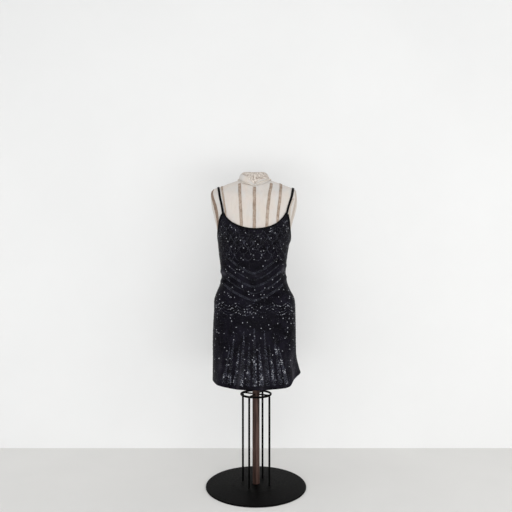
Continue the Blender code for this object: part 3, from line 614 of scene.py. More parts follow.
class Material:
    """A Principled material with short ways to add its noise, weave and bump."""

    def __init__(self, name, colour, roughness, specular, **sockets):
        self.material = bpy.data.materials.new(name)
        self.material.use_nodes = True
        self.nodes = self.material.node_tree.nodes
        self.shader = self.nodes["Principled BSDF"]
        self.fill(self.shader, {"Base Color": colour, "Roughness": roughness, "Specular IOR Level": specular})
        self.fill(self.shader, {key.replace("_", " "): value for key, value in sockets.items()})
        self.place = self.node("TexCoord", {}, "Object")

    def fill(self, node, inputs):
        """Set a node's inputs, by links, numbers and colours."""
        for key, value in inputs.items():
            if isinstance(value, bpy.types.NodeSocket):
                self.material.node_tree.links.new(value, node.inputs[key])
            else:
                colour = node.inputs[key].type == "RGBA"
                node.inputs[key].default_value = (*value, 1) if colour else value

    def node(self, kind, inputs, output=0, **settings):
        """The output of a new node."""
        node = self.nodes.new("ShaderNode" + kind)
        for key, value in settings.items():
            setattr(node, key, value)
        self.fill(node, inputs)
        return node.outputs[output]

    def math(self, operation, a, b):
        return self.node("Math", {0: a, 1: b}, operation=operation)

    def noise(self, scale, detail=3.0, roughness=0.55, place=None, stretch=None):
        place = place or self.place
        if stretch:
            place = self.node("Mapping", {"Vector": place, "Scale": stretch})
        inputs = {"Vector": place, "Scale": scale, "Detail": detail, "Roughness": roughness}
        return self.node("TexNoise", inputs, "Fac")

    def ramp(self, value, low, high, colour_low, colour_high):
        """Colour by a value: one colour at or under low, and the other at or over high."""
        colour = self.node("ValToRGB", {"Fac": value})
        ends = colour.node.color_ramp.elements
        for end, place, tint in zip(ends, (low, high), (colour_low, colour_high)):
            end.position = place
            end.color = (*tint, 1)
        return colour

    def levels(self, *inputs):
        """A value moved from one range to another: the value, low, high, then the new low and high."""
        return self.node("MapRange", dict(enumerate(inputs)))

    def mix(self, share, a, b):
        return self.node("Mix", {0: share, 6: a, 7: b}, 2, data_type="RGBA")

    def split(self, place):
        return self.node("SeparateXYZ", {0: place}).node.outputs

    def round_place(self, radius_mm):
        """Coordinates round the post's axis: an arc length, nothing, and the height."""
        x, y, z = self.split(self.place)
        turn = self.math("ARCTAN2", x, self.math("MULTIPLY", y, -1.0))
        return self.node("CombineXYZ", {0: self.math("MULTIPLY", turn, radius_mm * MM), 2: z})

    def threads(self, place, pitch_mm, direction):
        """One set of threads, from 0 between them to 1 along their tops."""
        inputs = {"Vector": place, "Scale": math.pi / 10 / (pitch_mm * MM), "Distortion": 0.6, "Detail": 1.0}
        inputs["Detail Scale"] = 0.4
        return self.node("TexWave", inputs, "Fac", bands_direction=direction)

    def weave(self, place, pitch_mm, up="Z"):
        """A plain weave of two sets of threads."""
        return self.math("MULTIPLY", self.threads(place, pitch_mm, "X"), self.threads(place, pitch_mm, up))

    def done(self, colour, height, distance_mm, strength, rough=None):
        """Link the colour, the bump and the roughness, and give the finished material."""
        bump = {"Height": height, "Distance": distance_mm * MM, "Strength": strength}
        inputs = {"Base Color": colour, "Normal": self.node("Bump", bump)}
        if rough:
            inputs["Roughness"] = rough
        self.fill(self.shader, inputs)
        return self.material


# The panels' attribute of painted highlight: where the cloth's colour is made paler to stand in for light
# caught on crease crests and on the fold.
HIGHLIGHT_ATTRIBUTE = "painted_highlight"


def dress_cloth_material():
    look = Material("dress_cloth", (0.006, 0.0058, 0.008), 0.5, 0.035)
    patches = look.noise(24, 4, 0.62)
    cloth_colour = look.ramp(patches, 0.36, 0.66, (0.0016, 0.0013, 0.0028), (0.0077, 0.0068, 0.0120))
    # Painted highlight: where the panels' attribute says so, the cloth is mixed towards a pale grey, broken
    # into streaks by this noise.
    streaks = look.levels(look.noise(34, 4, 0.6, stretch=(1, 1, 0.45)), 0.4, 0.66, 0.15, 1)
    painted_highlight = look.node("Attribute", {}, "Fac", attribute_name=HIGHLIGHT_ATTRIBUTE)
    colour = look.mix(look.math("MULTIPLY", painted_highlight, streaks), cloth_colour, (0.075, 0.072, 0.086))
    weave = look.weave(look.round_place(130), 0.8)
    return look.done(colour, weave, 0.12, 0.7, look.levels(patches, 0.3, 0.7, 0.40, 0.56))


def satin_material():
    look = Material("satin_binding", (0.005, 0.005, 0.0065), 0.5, 0.045)
    grain = look.noise(900, 2, stretch=(1, 1, 0.3))
    colour = look.mix(grain, (0.0015, 0.0014, 0.0018), (0.0042, 0.004, 0.005))
    return look.done(colour, grain, 0.08, 0.6, look.levels(grain, 0.3, 0.7, 0.42, 0.6))


def sequin_material(name, dark, light, roughness, metallic, specular):
    look = Material(name, light, roughness, specular, Metallic=metallic)
    speckle = look.noise(420, 2, 0.6)
    rough = look.levels(speckle, 0.35, 0.65, roughness * 0.8, roughness * 1.3)
    return look.done(look.ramp(speckle, 0.42, 0.6, dark, light), look.noise(1500, 1), 0.05, 0.4, rough)


def linen_material():
    look = Material("linen", (0.66, 0.61, 0.56), 0.92, 0.2, Sheen_Weight=0.15, Sheen_Roughness=0.5)
    weave = look.weave(look.round_place(150), 1.0)
    slubs = look.noise(160, 3, stretch=(1, 1, 0.12))
    panels = look.noise(13, 3, stretch=(1.6, 1, 0.5))
    tints = look.ramp(panels, 0.38, 0.62, (0.638, 0.624, 0.605), (0.682, 0.62, 0.558))
    faint = look.levels(look.noise(26, 3), 0.45, 0.7, 0.0, 0.35)
    base = look.mix(faint, tints, (0.682, 0.586, 0.552))
    slub = look.mix(look.levels(slubs, 0.45, 0.75, 0.0, 0.35), base, (0.56, 0.50, 0.44))
    stains = look.levels(look.noise(30, 5, 0.7), 0.55, 0.8, 0.0, 0.3)
    aged = look.mix(stains, slub, (0.55, 0.47, 0.39))
    colour = look.mix(look.levels(weave, 0, 1, 0.16, 0), aged, (0.42, 0.37, 0.33))
    return look.done(colour, look.math("ADD", weave, slubs), 0.2, 0.8)


def neck_cloth_material(name, flat=False):
    """A coarse mottled weave, laid round the neck or flat on its top."""
    look = Material(name, (0.52, 0.45, 0.39), 0.94, 0.15)
    place = look.place if flat else look.round_place(60)
    mottle = look.noise(120, 4, 0.75, place=place, stretch=(1, 1, 0.8))
    clumps = look.levels(look.noise(48, 2, 0.6, place=place), 0.38, 0.62, 0.0, 0.45)
    spread = 0.14 if flat else 0.09
    base = look.ramp(mottle, 0.5 - spread, 0.5 + spread, (0.315, 0.25, 0.205), (0.87, 0.81, 0.74))
    weave = look.weave(place, 1.6, "Y" if flat else "Z")
    return look.done(look.mix(clumps, base, (0.60, 0.53, 0.47)), look.math("ADD", weave, mottle), 0.6, 0.9)


def cotton_material(name, colour, darker):
    look = Material(name, colour, 0.9, 0.15)
    fibre = look.noise(700, 3, 0.6)
    return look.done(look.ramp(fibre, 0.35, 0.65, darker, colour), fibre, 0.2, 0.8)


def tape_material(name, worn, deep, low):
    """Twill: fine slanting ribs over a slightly uneven brown."""
    look = Material(name, worn, 0.9, 0.15)
    x, _, z = look.split(look.round_place(150))
    slant = look.math("ADD", x, look.math("MULTIPLY", z, 0.6))
    ribs = look.threads(look.node("CombineXYZ", {0: slant}), 1.3, "X")
    specks = look.levels(look.noise(120, 2, 0.5), 0.55, 0.66, 0.0, 0.5)
    base = look.mix(specks, look.ramp(look.noise(72, 4, 0.6), 0.35, 0.68, deep, worn), low)
    return look.done(look.mix(look.levels(ribs, 0, 1, 0.3, 0), base, low), ribs, 0.2, 0.8)


def wood_material():
    look = Material("stained_wood", (0.09, 0.05, 0.038), 0.42, 0.12, Coat_Weight=0.03, Coat_Roughness=0.3)
    grain = look.noise(84, 5, 0.6, stretch=(1, 1, 0.05))
    pores = look.noise(420, 2, 0.5, stretch=(1, 1, 0.03))
    streaks = look.ramp(grain, 0.36, 0.62, (0.012, 0.0052, 0.0038), (0.098, 0.056, 0.045))
    colour = look.mix(look.levels(pores, 0.5, 0.7, 0.0, 0.6), streaks, (0.012, 0.007, 0.005))
    return look.done(colour, pores, 0.1, 0.5, look.levels(grain, 0.3, 0.7, 0.36, 0.55))


def iron_material():
    look = Material("black_iron", (0.012, 0.012, 0.013), 0.48, 0.03)
    scale = look.noise(120, 5, 0.65)
    colour = look.ramp(scale, 0.4, 0.72, (0.0008, 0.0008, 0.0009), (0.0042, 0.0038, 0.0036))
    return look.done(colour, scale, 0.15, 0.6, look.levels(scale, 0.3, 0.7, 0.40, 0.62))


def pale_material(name, colour, spread, one_sided=False):
    look = Material(name, colour, 0.95, 0.1)
    darker = [value * (1 - spread) for value in colour]
    mottle = look.ramp(look.noise(1.6, 4, 0.6), 0.35, 0.65, darker, colour)
    if one_sided:
        behind = look.node("NewGeometry", {}, "Backfacing")
        clear = look.node("BsdfTransparent", {})
        mixed = look.node("MixShader", {0: behind, 1: look.shader.outputs[0], 2: clear})
        look.fill(look.nodes["Material Output"], {"Surface": mixed})
    return look.done(mottle, look.noise(90, 3), 0.3, 0.3)


DRESS_CLOTH = dress_cloth_material()
SATIN = satin_material()
# The beads' materials. A bead's tone is its place here.
BEAD_LOOKS = [sequin_material(*row) for row in (
    ("jet_sequins", (0.0018, 0.0018, 0.003), (0.006, 0.006, 0.0085), 0.3, 0.0, 0.12),
    ("slate_sequins", (0.018, 0.019, 0.028), (0.070, 0.074, 0.104), 0.3, 0.2, 0.28),
    ("silver_sequins", (0.18, 0.185, 0.21), (0.70, 0.72, 0.79), 0.2, 0.4, 0.5),
    ("pewter_beads", (0.010, 0.010, 0.015), (0.040, 0.042, 0.056), 0.35, 0.1, 0.2),
)]
JET, SLATE, SILVER, PEWTER = range(4)
LINEN = linen_material()
NECK_CLOTH = neck_cloth_material("neck_cloth")
NECK_TOP_CLOTH = neck_cloth_material("neck_top_cloth", flat=True)
CORD = cotton_material("cotton_cord", (0.76, 0.72, 0.66), (0.55, 0.49, 0.42))
BLACK_THREAD = cotton_material("black_thread", (0.016, 0.015, 0.019), (0.006, 0.006, 0.008))
BROWN_THREAD = cotton_material("brown_thread", (0.33, 0.25, 0.19), (0.20, 0.15, 0.11))
TAPE = tape_material("twill_tape", (0.54, 0.45, 0.38), (0.31, 0.235, 0.18), (0.23, 0.17, 0.13))
# Two copies of the tape with painted light: a darker painted-shade copy for the left arm end, away from the
# key light, and a paler painted-light copy for the tapes on the right, towards it.
SHADED_TAPE = tape_material("shaded_arm_tape", (0.36, 0.27, 0.21), (0.22, 0.16, 0.12), (0.15, 0.105, 0.08))
LIT_TAPE = tape_material("lit_tape", (0.60, 0.54, 0.48), (0.50, 0.435, 0.38), (0.40, 0.34, 0.29))
WOOD = wood_material()
IRON = iron_material()


# The dress

# The turned hem: heights above its edge, and how far out the cloth lies at each.
HEM_ROLLS = np.array((0, 0.8, 2.4, 6, 10, 12.4, 13.4, 14.4))
HEM_OUT = np.array((-0.5, 0.15, 0.35, 0.35, 0.35, 0.25, -0.25, 0.0))
PANEL_ROWS = 150
PANEL_CELLS = (26, 2, 84)
SEAM_DIP = 0.9
SEAM_SPREAD = 1.6
SEAM_CLEAR = 0.03
UNDER_BINDING = 4
# How deep a crease is for its full painted highlight, and how strong that painted highlight is.
HIGHLIGHT_CREASE_DEEP = 4.2
HIGHLIGHT_POWER = 1.5
HIGHLIGHT_MOST = 0.85
# The painted highlight on the kicked-out fold's side that faces the key light: angle, spread, height, spread
# up and down, and how pale it is painted.
FOLD_HIGHLIGHT = (63, 10, 500, 62, 0.74)


def painted_highlight_share(angles, heights):
    """How much painted highlight the cloth gets, from 0 to 1: on crease crests and on the fold's side towards
    the key light.
    """
    painted_highlight = np.clip(crease_depth(angles, heights) / HIGHLIGHT_CREASE_DEEP, 0, 1) ** HIGHLIGHT_POWER
    centre, spread, height, tall, strength = FOLD_HIGHLIGHT
    turn = degrees_round(angles - math.radians(centre))
    fold_highlight = strength * np.exp(-((turn / spread) ** 2) - ((heights - height) / tall) ** 2)
    return np.clip(HIGHLIGHT_MOST * painted_highlight + fold_highlight, 0, 1)


def make_panel(side, name):
    """The front or back panel as a fine thin shell, its hem turned and its top under the binding."""
    angles = side.columns(*PANEL_CELLS)
    tops = side.edge_height(angles) - side.binding_height(angles) + UNDER_BINDING
    bottoms = hem_height(angles)
    first = bottoms + HEM_ROLLS[-1]
    shares = np.linspace(0, 1, PANEL_ROWS + 1)[1:, None]
    heights = np.concatenate((bottoms + HEM_ROLLS[:, None], first + (tops - first) * shares))
    angles = np.broadcast_to(angles, heights.shape)
    along = cloth.along_at(angles, heights)
    gaps = [np.abs(along - cloth.along_at(seam, heights)) for seam in side.seams]
    out = -SEAM_DIP * np.exp(-((np.minimum(*gaps) / SEAM_SPREAD) ** 2))
    out[: len(HEM_OUT)] += HEM_OUT[:, None]
    outer = dress_place(angles, heights, out)
    shape = wall(name, outer, dress_place(angles, heights, out - CLOTH), DRESS_CLOTH, "dress_cloth")
    # The painted highlight share goes on the outer face's points, none on the inner face's.
    painted_highlight = painted_highlight_share(angles, heights).ravel()
    values = shape.data.attributes.new(HIGHLIGHT_ATTRIBUTE, "FLOAT", "POINT").data
    values.foreach_set("value", np.concatenate((painted_highlight, painted_highlight * 0)))
    return shape


# A binding's profile: the share of its height down from the edge, and how far out it lies.
BINDING_PROFILE = np.array((
    (0.0, -0.8), (0.015, -0.1), (0.06, 0.4), (0.2, 0.7), (0.45, 0.75), (0.75, 0.7), (0.93, 0.5), (1.0, 0.0),
    (1.0, -1.6), (0.9, -2.0), (0.5, -2.1), (0.2, -2.1), (0.05, -1.9), (0.01, -1.4),
))
BINDING_OUT = 0.75
BINDING_RIPPLE = 0.12
BINDING_RIPPLE_TURN = 0.9
NECK_CELLS = (2, 4, 150)
ARMHOLE_CELLS = (60, 4, 2)
STITCH_SHARE = 0.84
HEM_STITCH = 11
HEM_STITCH_OUT = 0.4
HEM_STITCH_SAMPLES = 400


def make_binding(name, angles, tops, talls, seams):
    """A rolled binding over an edge, as a closed strip with rounded edges."""
    shares, outs = BINDING_PROFILE.T
    ripple = BINDING_RIPPLE * np.sin(np.arange(1, len(angles) + 1) * BINDING_RIPPLE_TURN)[:, None]
    follow = dress_place(angles, tops) - plain_dress(angles, tops)
    rings = plain_dress(angles[:, None], tops[:, None] - talls[:, None] * shares, outs + ripple)
    rings += follow[:, None]
    row = plain_dress(angles, tops - talls * STITCH_SHARE, BINDING_OUT) + follow
    seams.append((row, outward_at(angles, tops)))
    return tube(name, rings[:, ::-1], SATIN, "binding", closed=False, capped=True)


def make_bindings():
    """The bindings, and the stitching along them and the hem."""
    pieces = []
    seams = []
    for side, name in ((front, "neck_binding_front"), (back, "neck_binding_back")):
        angles = side.columns(*NECK_CELLS)
        angles = angles[(angles >= side.corners[0][1]) & (angles <= side.corners[1][1])]
        tops, talls = side.edge_height(angles), side.binding_height(angles)
        pieces.append(make_binding(name, angles, tops, talls, seams))
    for before, after, way in ((back, front, "left"), (front, back, "right")):
        first, last = before.columns(*ARMHOLE_CELLS), after.columns(*ARMHOLE_CELLS)
        first = first[first >= before.corners[1][1]]
        last = last[last <= after.corners[0][1]]
        low = min(before.binding_height(first[-1:])[0], after.binding_height(last[:1])[0])
        shift = before.seams[1] - after.seams[0]
        angles = np.concatenate((first, last[1:] + shift))
        first, last = first[:-1], last[1:]
        tops = np.concatenate((before.edge_height(first), [UNDERARM_HEIGHT], after.edge_height(last)))
        talls = np.concatenate((before.binding_height(first), [low], after.binding_height(last)))
        pieces.append(make_binding(f"armhole_binding_{way}", angles, tops, talls, seams))
    for side in (front, back):
        angles = np.linspace(side.seams[0] + SEAM_CLEAR, side.seams[1] - SEAM_CLEAR, HEM_STITCH_SAMPLES)
        heights = hem_height(angles) + HEM_STITCH
        seams.append((dress_place(angles, heights, HEM_STITCH_OUT), outward_at(angles, heights)))
    return pieces + [stitches("dress_stitches", seams, *DRESS_STITCHES, BLACK_THREAD, "binding")]


# Strips laid on the form

# Places across a strip, as shares of its width, and how thick it is at each.
ACROSS = np.array((-0.5, -0.46, -0.25, 0.0, 0.25, 0.46, 0.5))
ROLL = np.array((0.3, 0.9, 1.0, 1.0, 1.0, 0.9, 0.3))
UNDER_LIFT = 0.05
TAPE_STITCH_IN = 0.25


def surface_of(rings):
    faces = grid_faces(*rings.shape[:2], wrap=True).tolist()
    return BVHTree.FromPolygons([Vector(point) for point in rings.reshape(-1, 3)], faces)


def fan_hit(surface, x, fan_height, angle):
    """Where a ray leaves the body, and the normal there: it is level at 0 and straight up at 90."""
    turn = math.radians(angle)
    forward = Vector((0, -math.cos(turn), math.sin(turn)))
    return surface.ray_cast(Vector((x, 0, fan_height)), forward)[:2]


def fan_row(surface, x, fan_height, angle, width):
    """Points across a strip, and their normals."""
    found = [fan_hit(surface, x + share * width, fan_height, angle) for share in ACROSS]
    return [np.array(column) for column in zip(*found)]


def make_tapes(surface):
    """The twill tapes, and the stitching along both edges of each."""
    seams = []
    for name, width, fan_height, places in TAPES:
        place_curve = Curve(places)
        start, end = places[0][0], places[-1][0]
        cells = math.ceil((end - start) / TAPE_STEP)
        outer = []
        inner = []
        for i in range(cells + 1):
            angle = start + (end - start) * i / cells
            x = place_curve(angle)[0] + TAPE_WAVE * math.sin(i * TAPE_WAVE_TURN + fan_height)
            hits, normals = fan_row(surface, x, fan_height, angle, width)
            outer.append(hits + normals * (TAPE_LIFT + TAPE_THICK * ROLL[:, None]))
            inner.append(hits + normals * UNDER_LIFT)
        rows = np.array(outer)
        normals = np.cross(np.gradient(rows, axis=0), np.gradient(rows, axis=1))
        for column in (1, 5):
            row = (rows[:, column] + rows[:, 3] * TAPE_STITCH_IN) / (1 + TAPE_STITCH_IN)
            seams.append((row, normals[:, column]))
        # The outer shoulder tape, on the right, takes the paler painted-light copy of the tape.
        look = LIT_TAPE if name == "tape_shoulder_outer" else TAPE
        wall(name, rows, np.array(inner), look, "tape")
    for row in ARM_TAPES:
        make_arm_tape(surface, *row)
    stitches("tape_stitches", seams, *TAPE_STITCHES, BROWN_THREAD, "tape")


def make_arm_tape(surface, name, sign, reach_up, reach_forward, width):
    """The oval tape round an arm end, laid from the side."""
    shares = ACROSS if sign > 0 else ACROSS[::-1]
    rings = []
    for turn in WHOLE * np.arange(ARM_TAPE_SAMPLES) / ARM_TAPE_SAMPLES:
        outer = []
        inner = []
        for share, roll in zip(shares, ROLL):
            ahead = -(reach_forward + share * width) * math.sin(turn)
            up = (reach_up + share * width) * math.cos(turn)
            place = Vector((sign * ARM_RAY_START, ahead, ARM_TAPE_HEIGHT + up))
            aim_height = ARM_TAPE_HEIGHT + up * ARM_RAY_TALL_SHARE
            aim = Vector((sign * ARM_RAY_END, ahead * ARM_RAY_DEEP_SHARE, aim_height))
            hit, normal, _, _ = surface.ray_cast(place, (aim - place).normalized())
            outer.append(hit + normal * (TAPE_LIFT + TAPE_THICK * roll))
            inner.append(hit + normal * UNDER_LIFT)
        rings.append(outer + inner[::-1])
    # The right arm tape takes the paler painted-light copy, the left one the darker painted-shade copy.
    tube(name, np.array(rings), LIT_TAPE if sign > 0 else SHADED_TAPE, "tape")


def angle_at_height(surface, x, height, behind):
    """The fan angle whose ray leaves the body at this height, by halving the range."""
    low, high = FAN_RANGE
    for _ in range(HALVINGS):
        middle = (low + high) / 2
        angle = 180 - middle if behind else middle
        if fan_hit(surface, x, STRAP_FAN_HEIGHT, angle)[0].z < height:
            low = middle
        else:
            high = middle
    return angle


def make_straps(surface):
    pieces = []
    thick = STRAP_EDGE + (1 - STRAP_EDGE) * ROLL
    for name, front_x, mid_x, top_x, back_x in STRAPS:
        behind_x = (top_x + back_x) / 2
        x_curve = Curve(((0, front_x), (0.25, mid_x), (0.5, top_x), (0.75, behind_x), (1, back_x)))
        start = angle_at_height(surface, front_x, FRONT_CORNER_HEIGHT - STRAP_END_DROP, False)
        end = angle_at_height(surface, back_x, BACK_CORNER_HEIGHT - STRAP_END_DROP, True)
        outer = []
        inner = []
        for share in np.arange(STRAP_STEPS + 1) / STRAP_STEPS:
            near_end = max(1 - min(share, 1 - share) / STRAP_END_SHARE, 0)
            lift = STRAP_LIFT + (STRAP_END_LIFT - STRAP_LIFT) * near_end
            x = x_curve(share)[0]
            angle = start + (end - start) * share
            hits, normals = fan_row(surface, x, STRAP_FAN_HEIGHT, angle, STRAP_WIDTH)
            outer.append(hits + normals * (lift + STRAP_THICK * thick[:, None]))
            inner.append(hits + normals * (lift + STRAP_ROLL_UNDER * (1 - ROLL[:, None])))
        pieces.append(wall(name, np.array(outer), np.array(inner), SATIN, "binding"))
    return pieces


# The form

BODY_COLUMNS = 160
BODY_STEP = 7
NECK_COLUMNS = 120
NECK_FOOT = np.linspace(1282.3, 1306, 14)
NECK_HEAD = np.linspace(1307, 1317, 10)
# The rings on the neck's top: their shares of its edge, and how much it domes.
NECK_TOP_SHARES = np.array((0.9, 0.7, 0.4))[:, None, None]
NECK_DOME = np.array((0, 0, 0.6))
# How far upright a face's normal is where the cloth on the neck's top begins.
NECK_TOP_NORMAL = 0.75
NECK_SEAM = 1283.5
# How far the neck cord lies above or below the seam, by the angle round.
CORD_LIFTS = Curve((
    (-180, 0), (-75, 0), (-50, -1), (-22, 2.5), (-14, 1), (-7, -2.5), (0, -7), (7, -1), (13, 5), (20, 8),
    (30, 8.5), (42, 8), (57, 6.5), (80, 2), (110, 0), (180, 0),
))
CORD_SAMPLES = 420
CORD_SIDES = 10
CORD_TWISTS = 24
CORD_LOBE = 0.22
CORD_CLEAR = 0.2
CORD_RAY = 150
CORD_STITCH_UP = 0.3
CORD_STITCH_IN = 0.6
# The linen band above the seam: its foot, its height by the angle round, and its profile as shares
# of that height and how far out it lies.
BAND_FOOT = 1283.0
BAND_TALLS = Curve((
    (-180, 12), (-120, 16), (-90, 23), (-62, 24.5), (-45, 22.5), (-30, 19), (-19, 13), (-10, 8), (-3, 3.5),
    (1, 2), (7, 4), (13, 9), (20, 12), (37, 12), (60, 10), (90, 8), (180, 12),
))
BAND_SHARES = np.array((0, 0.3, 0.6, 0.85, 0.97, 1))
BAND_OUTS = np.array((0.6, 0.9, 1.1, 1.1, 0.9, 0.2))
BAND_INNER = 0.4
# The small waves of its edge: how high and how many.
BAND_WAVES = ((0.4, 9), (0.3, 23))


def angles_round(count):
    return np.linspace(0, WHOLE, count, endpoint=False)


def make_body():
    """The linen covered body. It gives a search tree of the body's faces."""
    own = [row[0] for row in BODY_ROWS if BODY_BOTTOM <= row[0] <= BODY_TOP]
    heights = [own[0]]
    for low, high in zip(own, own[1:]):
        cells = math.ceil((high - low) / BODY_STEP)
        heights += [low + (high - low) * (i + 1) / cells for i in range(cells)]
    rings = body_place(angles_round(BODY_COLUMNS), np.array(heights)[:, None])
    tube("form_body", rings, LINEN, "linen", closed=False, capped=True)
    return surface_of(rings)


def make_neck():
    heights = np.concatenate((NECK_FOOT, NECK_HEAD))[:, None]
    rings = neck_place(angles_round(NECK_COLUMNS), heights)
    middle = rings[-1].mean(axis=0)
    top = middle + (rings[-1] - middle) * NECK_TOP_SHARES + NECK_DOME * (1 - NECK_TOP_SHARES)
    rings = np.concatenate((rings, top))
    shape = tube("form_neck", rings, NECK_CLOTH, "neck_cloth", closed=False, capped=True)
    shape.data.materials.append(NECK_TOP_CLOTH)
    on_top = [int(polygon.normal.z > NECK_TOP_NORMAL) for polygon in shape.data.polygons]
    shape.data.polygons.foreach_set("material_index", on_top)


def neck_outward(points):
    """Level directions from the middle of the neck to points."""
    return unit((points - (NECK_ROWS[0][2], 0, 0)) * (1, 1, 0))


def make_neck_band():
    """The linen turned up over the foot of the neck, with its edge rolled under."""
    angles = np.radians(np.linspace(-180, 180, 181))[:-1]
    tall = BAND_TALLS(degrees_round(angles))[..., 0]
    wavy = sum(high * np.sin(angles * count) for high, count in BAND_WAVES)
    rings = neck_place(angles, BAND_FOOT + (tall + wavy) * BAND_SHARES[:, None])
    outward = neck_outward(rings)
    outer = rings + outward * BAND_OUTS[:, None, None]
    tube("neck_band", np.concatenate((outer, (rings - outward * BAND_INNER)[::-1])), LINEN, "linen")


def make_neck_cord(surface):
    """A twisted cord sewn round the neck seam, laid where level rays meet the neck or the body."""
    angles = angles_round(CORD_SAMPLES)
    neck_surface = surface_of(neck_place(angles, NECK_FOOT[:, None]))
    seam = neck_place(angles, NECK_SEAM)
    outward = neck_outward(seam)
    centres = []
    for way, place, lift in zip(outward, seam, CORD_LIFTS(degrees_round(angles))[..., 0]):
        start = place + way * CORD_RAY + (0, 0, lift)
        hits = [tree.ray_cast(Vector(start), Vector(-way)) for tree in (surface, neck_surface)]
        hit, normal, _, _ = min((hit for hit in hits if hit[0]), key=lambda found: found[3])
        centres.append(hit + (normal + Vector(way)).normalized() * (NECK_CORD_RADIUS + CORD_CLEAR))
    centres = np.array(centres)
    for _ in range(2):
        centres = (np.roll(centres, 1, axis=0) + centres * 2 + np.roll(centres, -1, axis=0)) / 4
    tangent = unit(np.roll(centres, -1, axis=0) - np.roll(centres, 1, axis=0))
    across = unit(np.cross(tangent, (0, 0, 1.0)))
    up = np.cross(across, tangent)
    turns = WHOLE * np.arange(CORD_SIDES) / CORD_SIDES
    lobes = 1 + CORD_LOBE * np.cos(2 * (turns - angles[:, None] * CORD_TWISTS))
    tube("neck_cord", round_rings(centres, across, up, turns, NECK_CORD_RADIUS * lobes), CORD, "cord")
    aside = up * (NECK_CORD_RADIUS + CORD_STITCH_UP)
    seams = [(centres - aside * way - across * CORD_STITCH_IN, outward) for way in (-1, 1)]
    stitches("cord_stitches", seams, *CORD_STITCHES, BROWN_THREAD, "cord")


RING_SAMPLES = 96
RING_SIDES = 16
RING_UNEVEN = 0.03
RING_LOBES = 5


def make_ring():
    """The cage's ring, smoother than its solid and a little uneven, as forged iron is."""
    angles = angles_round(RING_SAMPLES)
    outward = np.stack((np.cos(angles), np.sin(angles), angles * 0), axis=1)
    up = np.array([[0, 0, 1]])
    turns = -WHOLE * np.arange(RING_SIDES) / RING_SIDES
    radius = IRON_RADIUS * (1 + RING_UNEVEN * np.sin(RING_LOBES * angles[:, None]))
    rings = round_rings(outward * RING_RADIUS + up * RING_HEIGHT, outward, up, turns, radius)
    tube("cage_ring", rings, IRON, "iron")


# Beadwork

HEM_CLEAR = 16
EDGE_CLEAR = 2.5
BEAD_LIFT = 0.15
# The lancets on the skirt: how many to each side of the middle, their spacing at the hem, the top
# of a long and of a short one, how much lower each next one ends, the height where they are
# widest, their half width there and at the tip, how their sides bend, how upright they stand, and
# the share of places that holds a sequin at their edge and of jet ones that is pewter instead.
LANCETS = 5
LANCET_PITCH = 27
LANCET_TOPS = (676, 622)
LANCET_STEP = 5
LANCET_FOOT = 440
LANCET_HALF_WIDTH = 9.5
LANCET_TIP = 1.6
LANCET_POWER = 0.8
LANCET_LEAN = 0.74
LANCET_SHARE = 0.75
LANCET_PEWTER = 0.35
# The swags of beads at the hips: the height that each row hangs from and its beads' pitch.
SWAGS = ((777, 4.0), (765, 4.4), (753, 5.6), (741, 4.0))
SWAG_REACH = 213
SWAG_WIDTH = 71
SWAG_DIP = 15
SWAG_SPREAD = 0.8
SWAG_JET = 0.3
# The scallops on the bust: how far round and up they reach, how wide and how tall each is, how
# far down the next row starts as a share of that, and their sequins' pitch and random spread.
SCALLOP_REACH = 210
SCALLOP_HEIGHTS = (965, 1130)
SCALLOP_WIDTH = 38
SCALLOP_TALL = 30
SCALLOP_DROP = 0.85
SCALLOP_PITCH = 3.2
SCALLOP_SPREAD = 0.5
# The chevrons at the waist: the lowest one's height, their spacing, reach and rise, how much
# shorter each next one is, how they bend, and their beads' pitch, rows by turns and row gap.
CHEVRONS = 5
CHEVRON_FOOT = 786
CHEVRON_PITCH = 27
CHEVRON_REACH = 128
CHEVRON_RISE = 62
CHEVRON_STEP = 6
CHEVRON_POWER = 1.35
CHEVRON_BEADS = 2.2
CHEVRON_ROWS = (5, 3)
CHEVRON_ROW_GAP = 1.9
# The heights over which the loose sequins grow denser towards the bust, the share of places that
# holds one on the skirt and how much more at the bust, and how many of the skirt's are only jet.
BUST_FOOT = 950
BUST_REACH = 90
LOOSE_SHARE = 0.2
BUST_SHARE = 0.5
SKIRT_LEVEL = 0.2
SKIRT_JET = 0.6
CRYSTAL_SHARE = 0.45
# Fields of scattered places: their pitch, how far round and up they reach, and their jitter.
LOOSE_FIELD = (4.2, 240, (440, 1142), 0.32)
LANCET_FIELD = (3.4, 240, (440, 700), 0.3)
CRYSTAL_FIELD = (26, 200, (470, 1120), 0.45)
# Each kind of bead: its radius, its rise as a share of that, and how far it leans at random.
BEADS = {
    "sequins_loose": (1.7, 0.35, 0.25),
    "sequins_scallops": (1.6, 0.35, 0.25),
    "beads_chevrons": (1.1, 0.8, 0.08),
    "sequins_lancets": (1.7, 0.3, 0.25),
    "beads_band": (1.5, 0.9, 0.1),
    "crystals": (2.1, 0.8, 0.1),
}
BEAD_SIDES = 6
# Their shares of slate and of silver among the jet, and how large the patches of each are.
TONES = {
    "sequins_loose": (0.21, 0.011, 9),
    "sequins_scallops": (0.42, 0.09, 22),
    "beads_chevrons": (0.66, 0.1, 16),
    "sequins_lancets": (0.44, 0.06, 20),
    "beads_band": (0.5, 0.3, 14),
}


def jittered(rng, pitch, s_reach, heights, jitter):
    """A loose brick pattern of places."""
    s, h = np.meshgrid(np.arange(-s_reach, s_reach, pitch), np.arange(*heights, pitch * 0.87))
    s = s + (np.arange(len(s)) % 2)[:, None] * pitch / 2
    s = s + rng.uniform(-jitter, jitter, s.shape) * pitch
    h = h + rng.uniform(-jitter, jitter, h.shape) * pitch
    return s.ravel(), h.ravel()


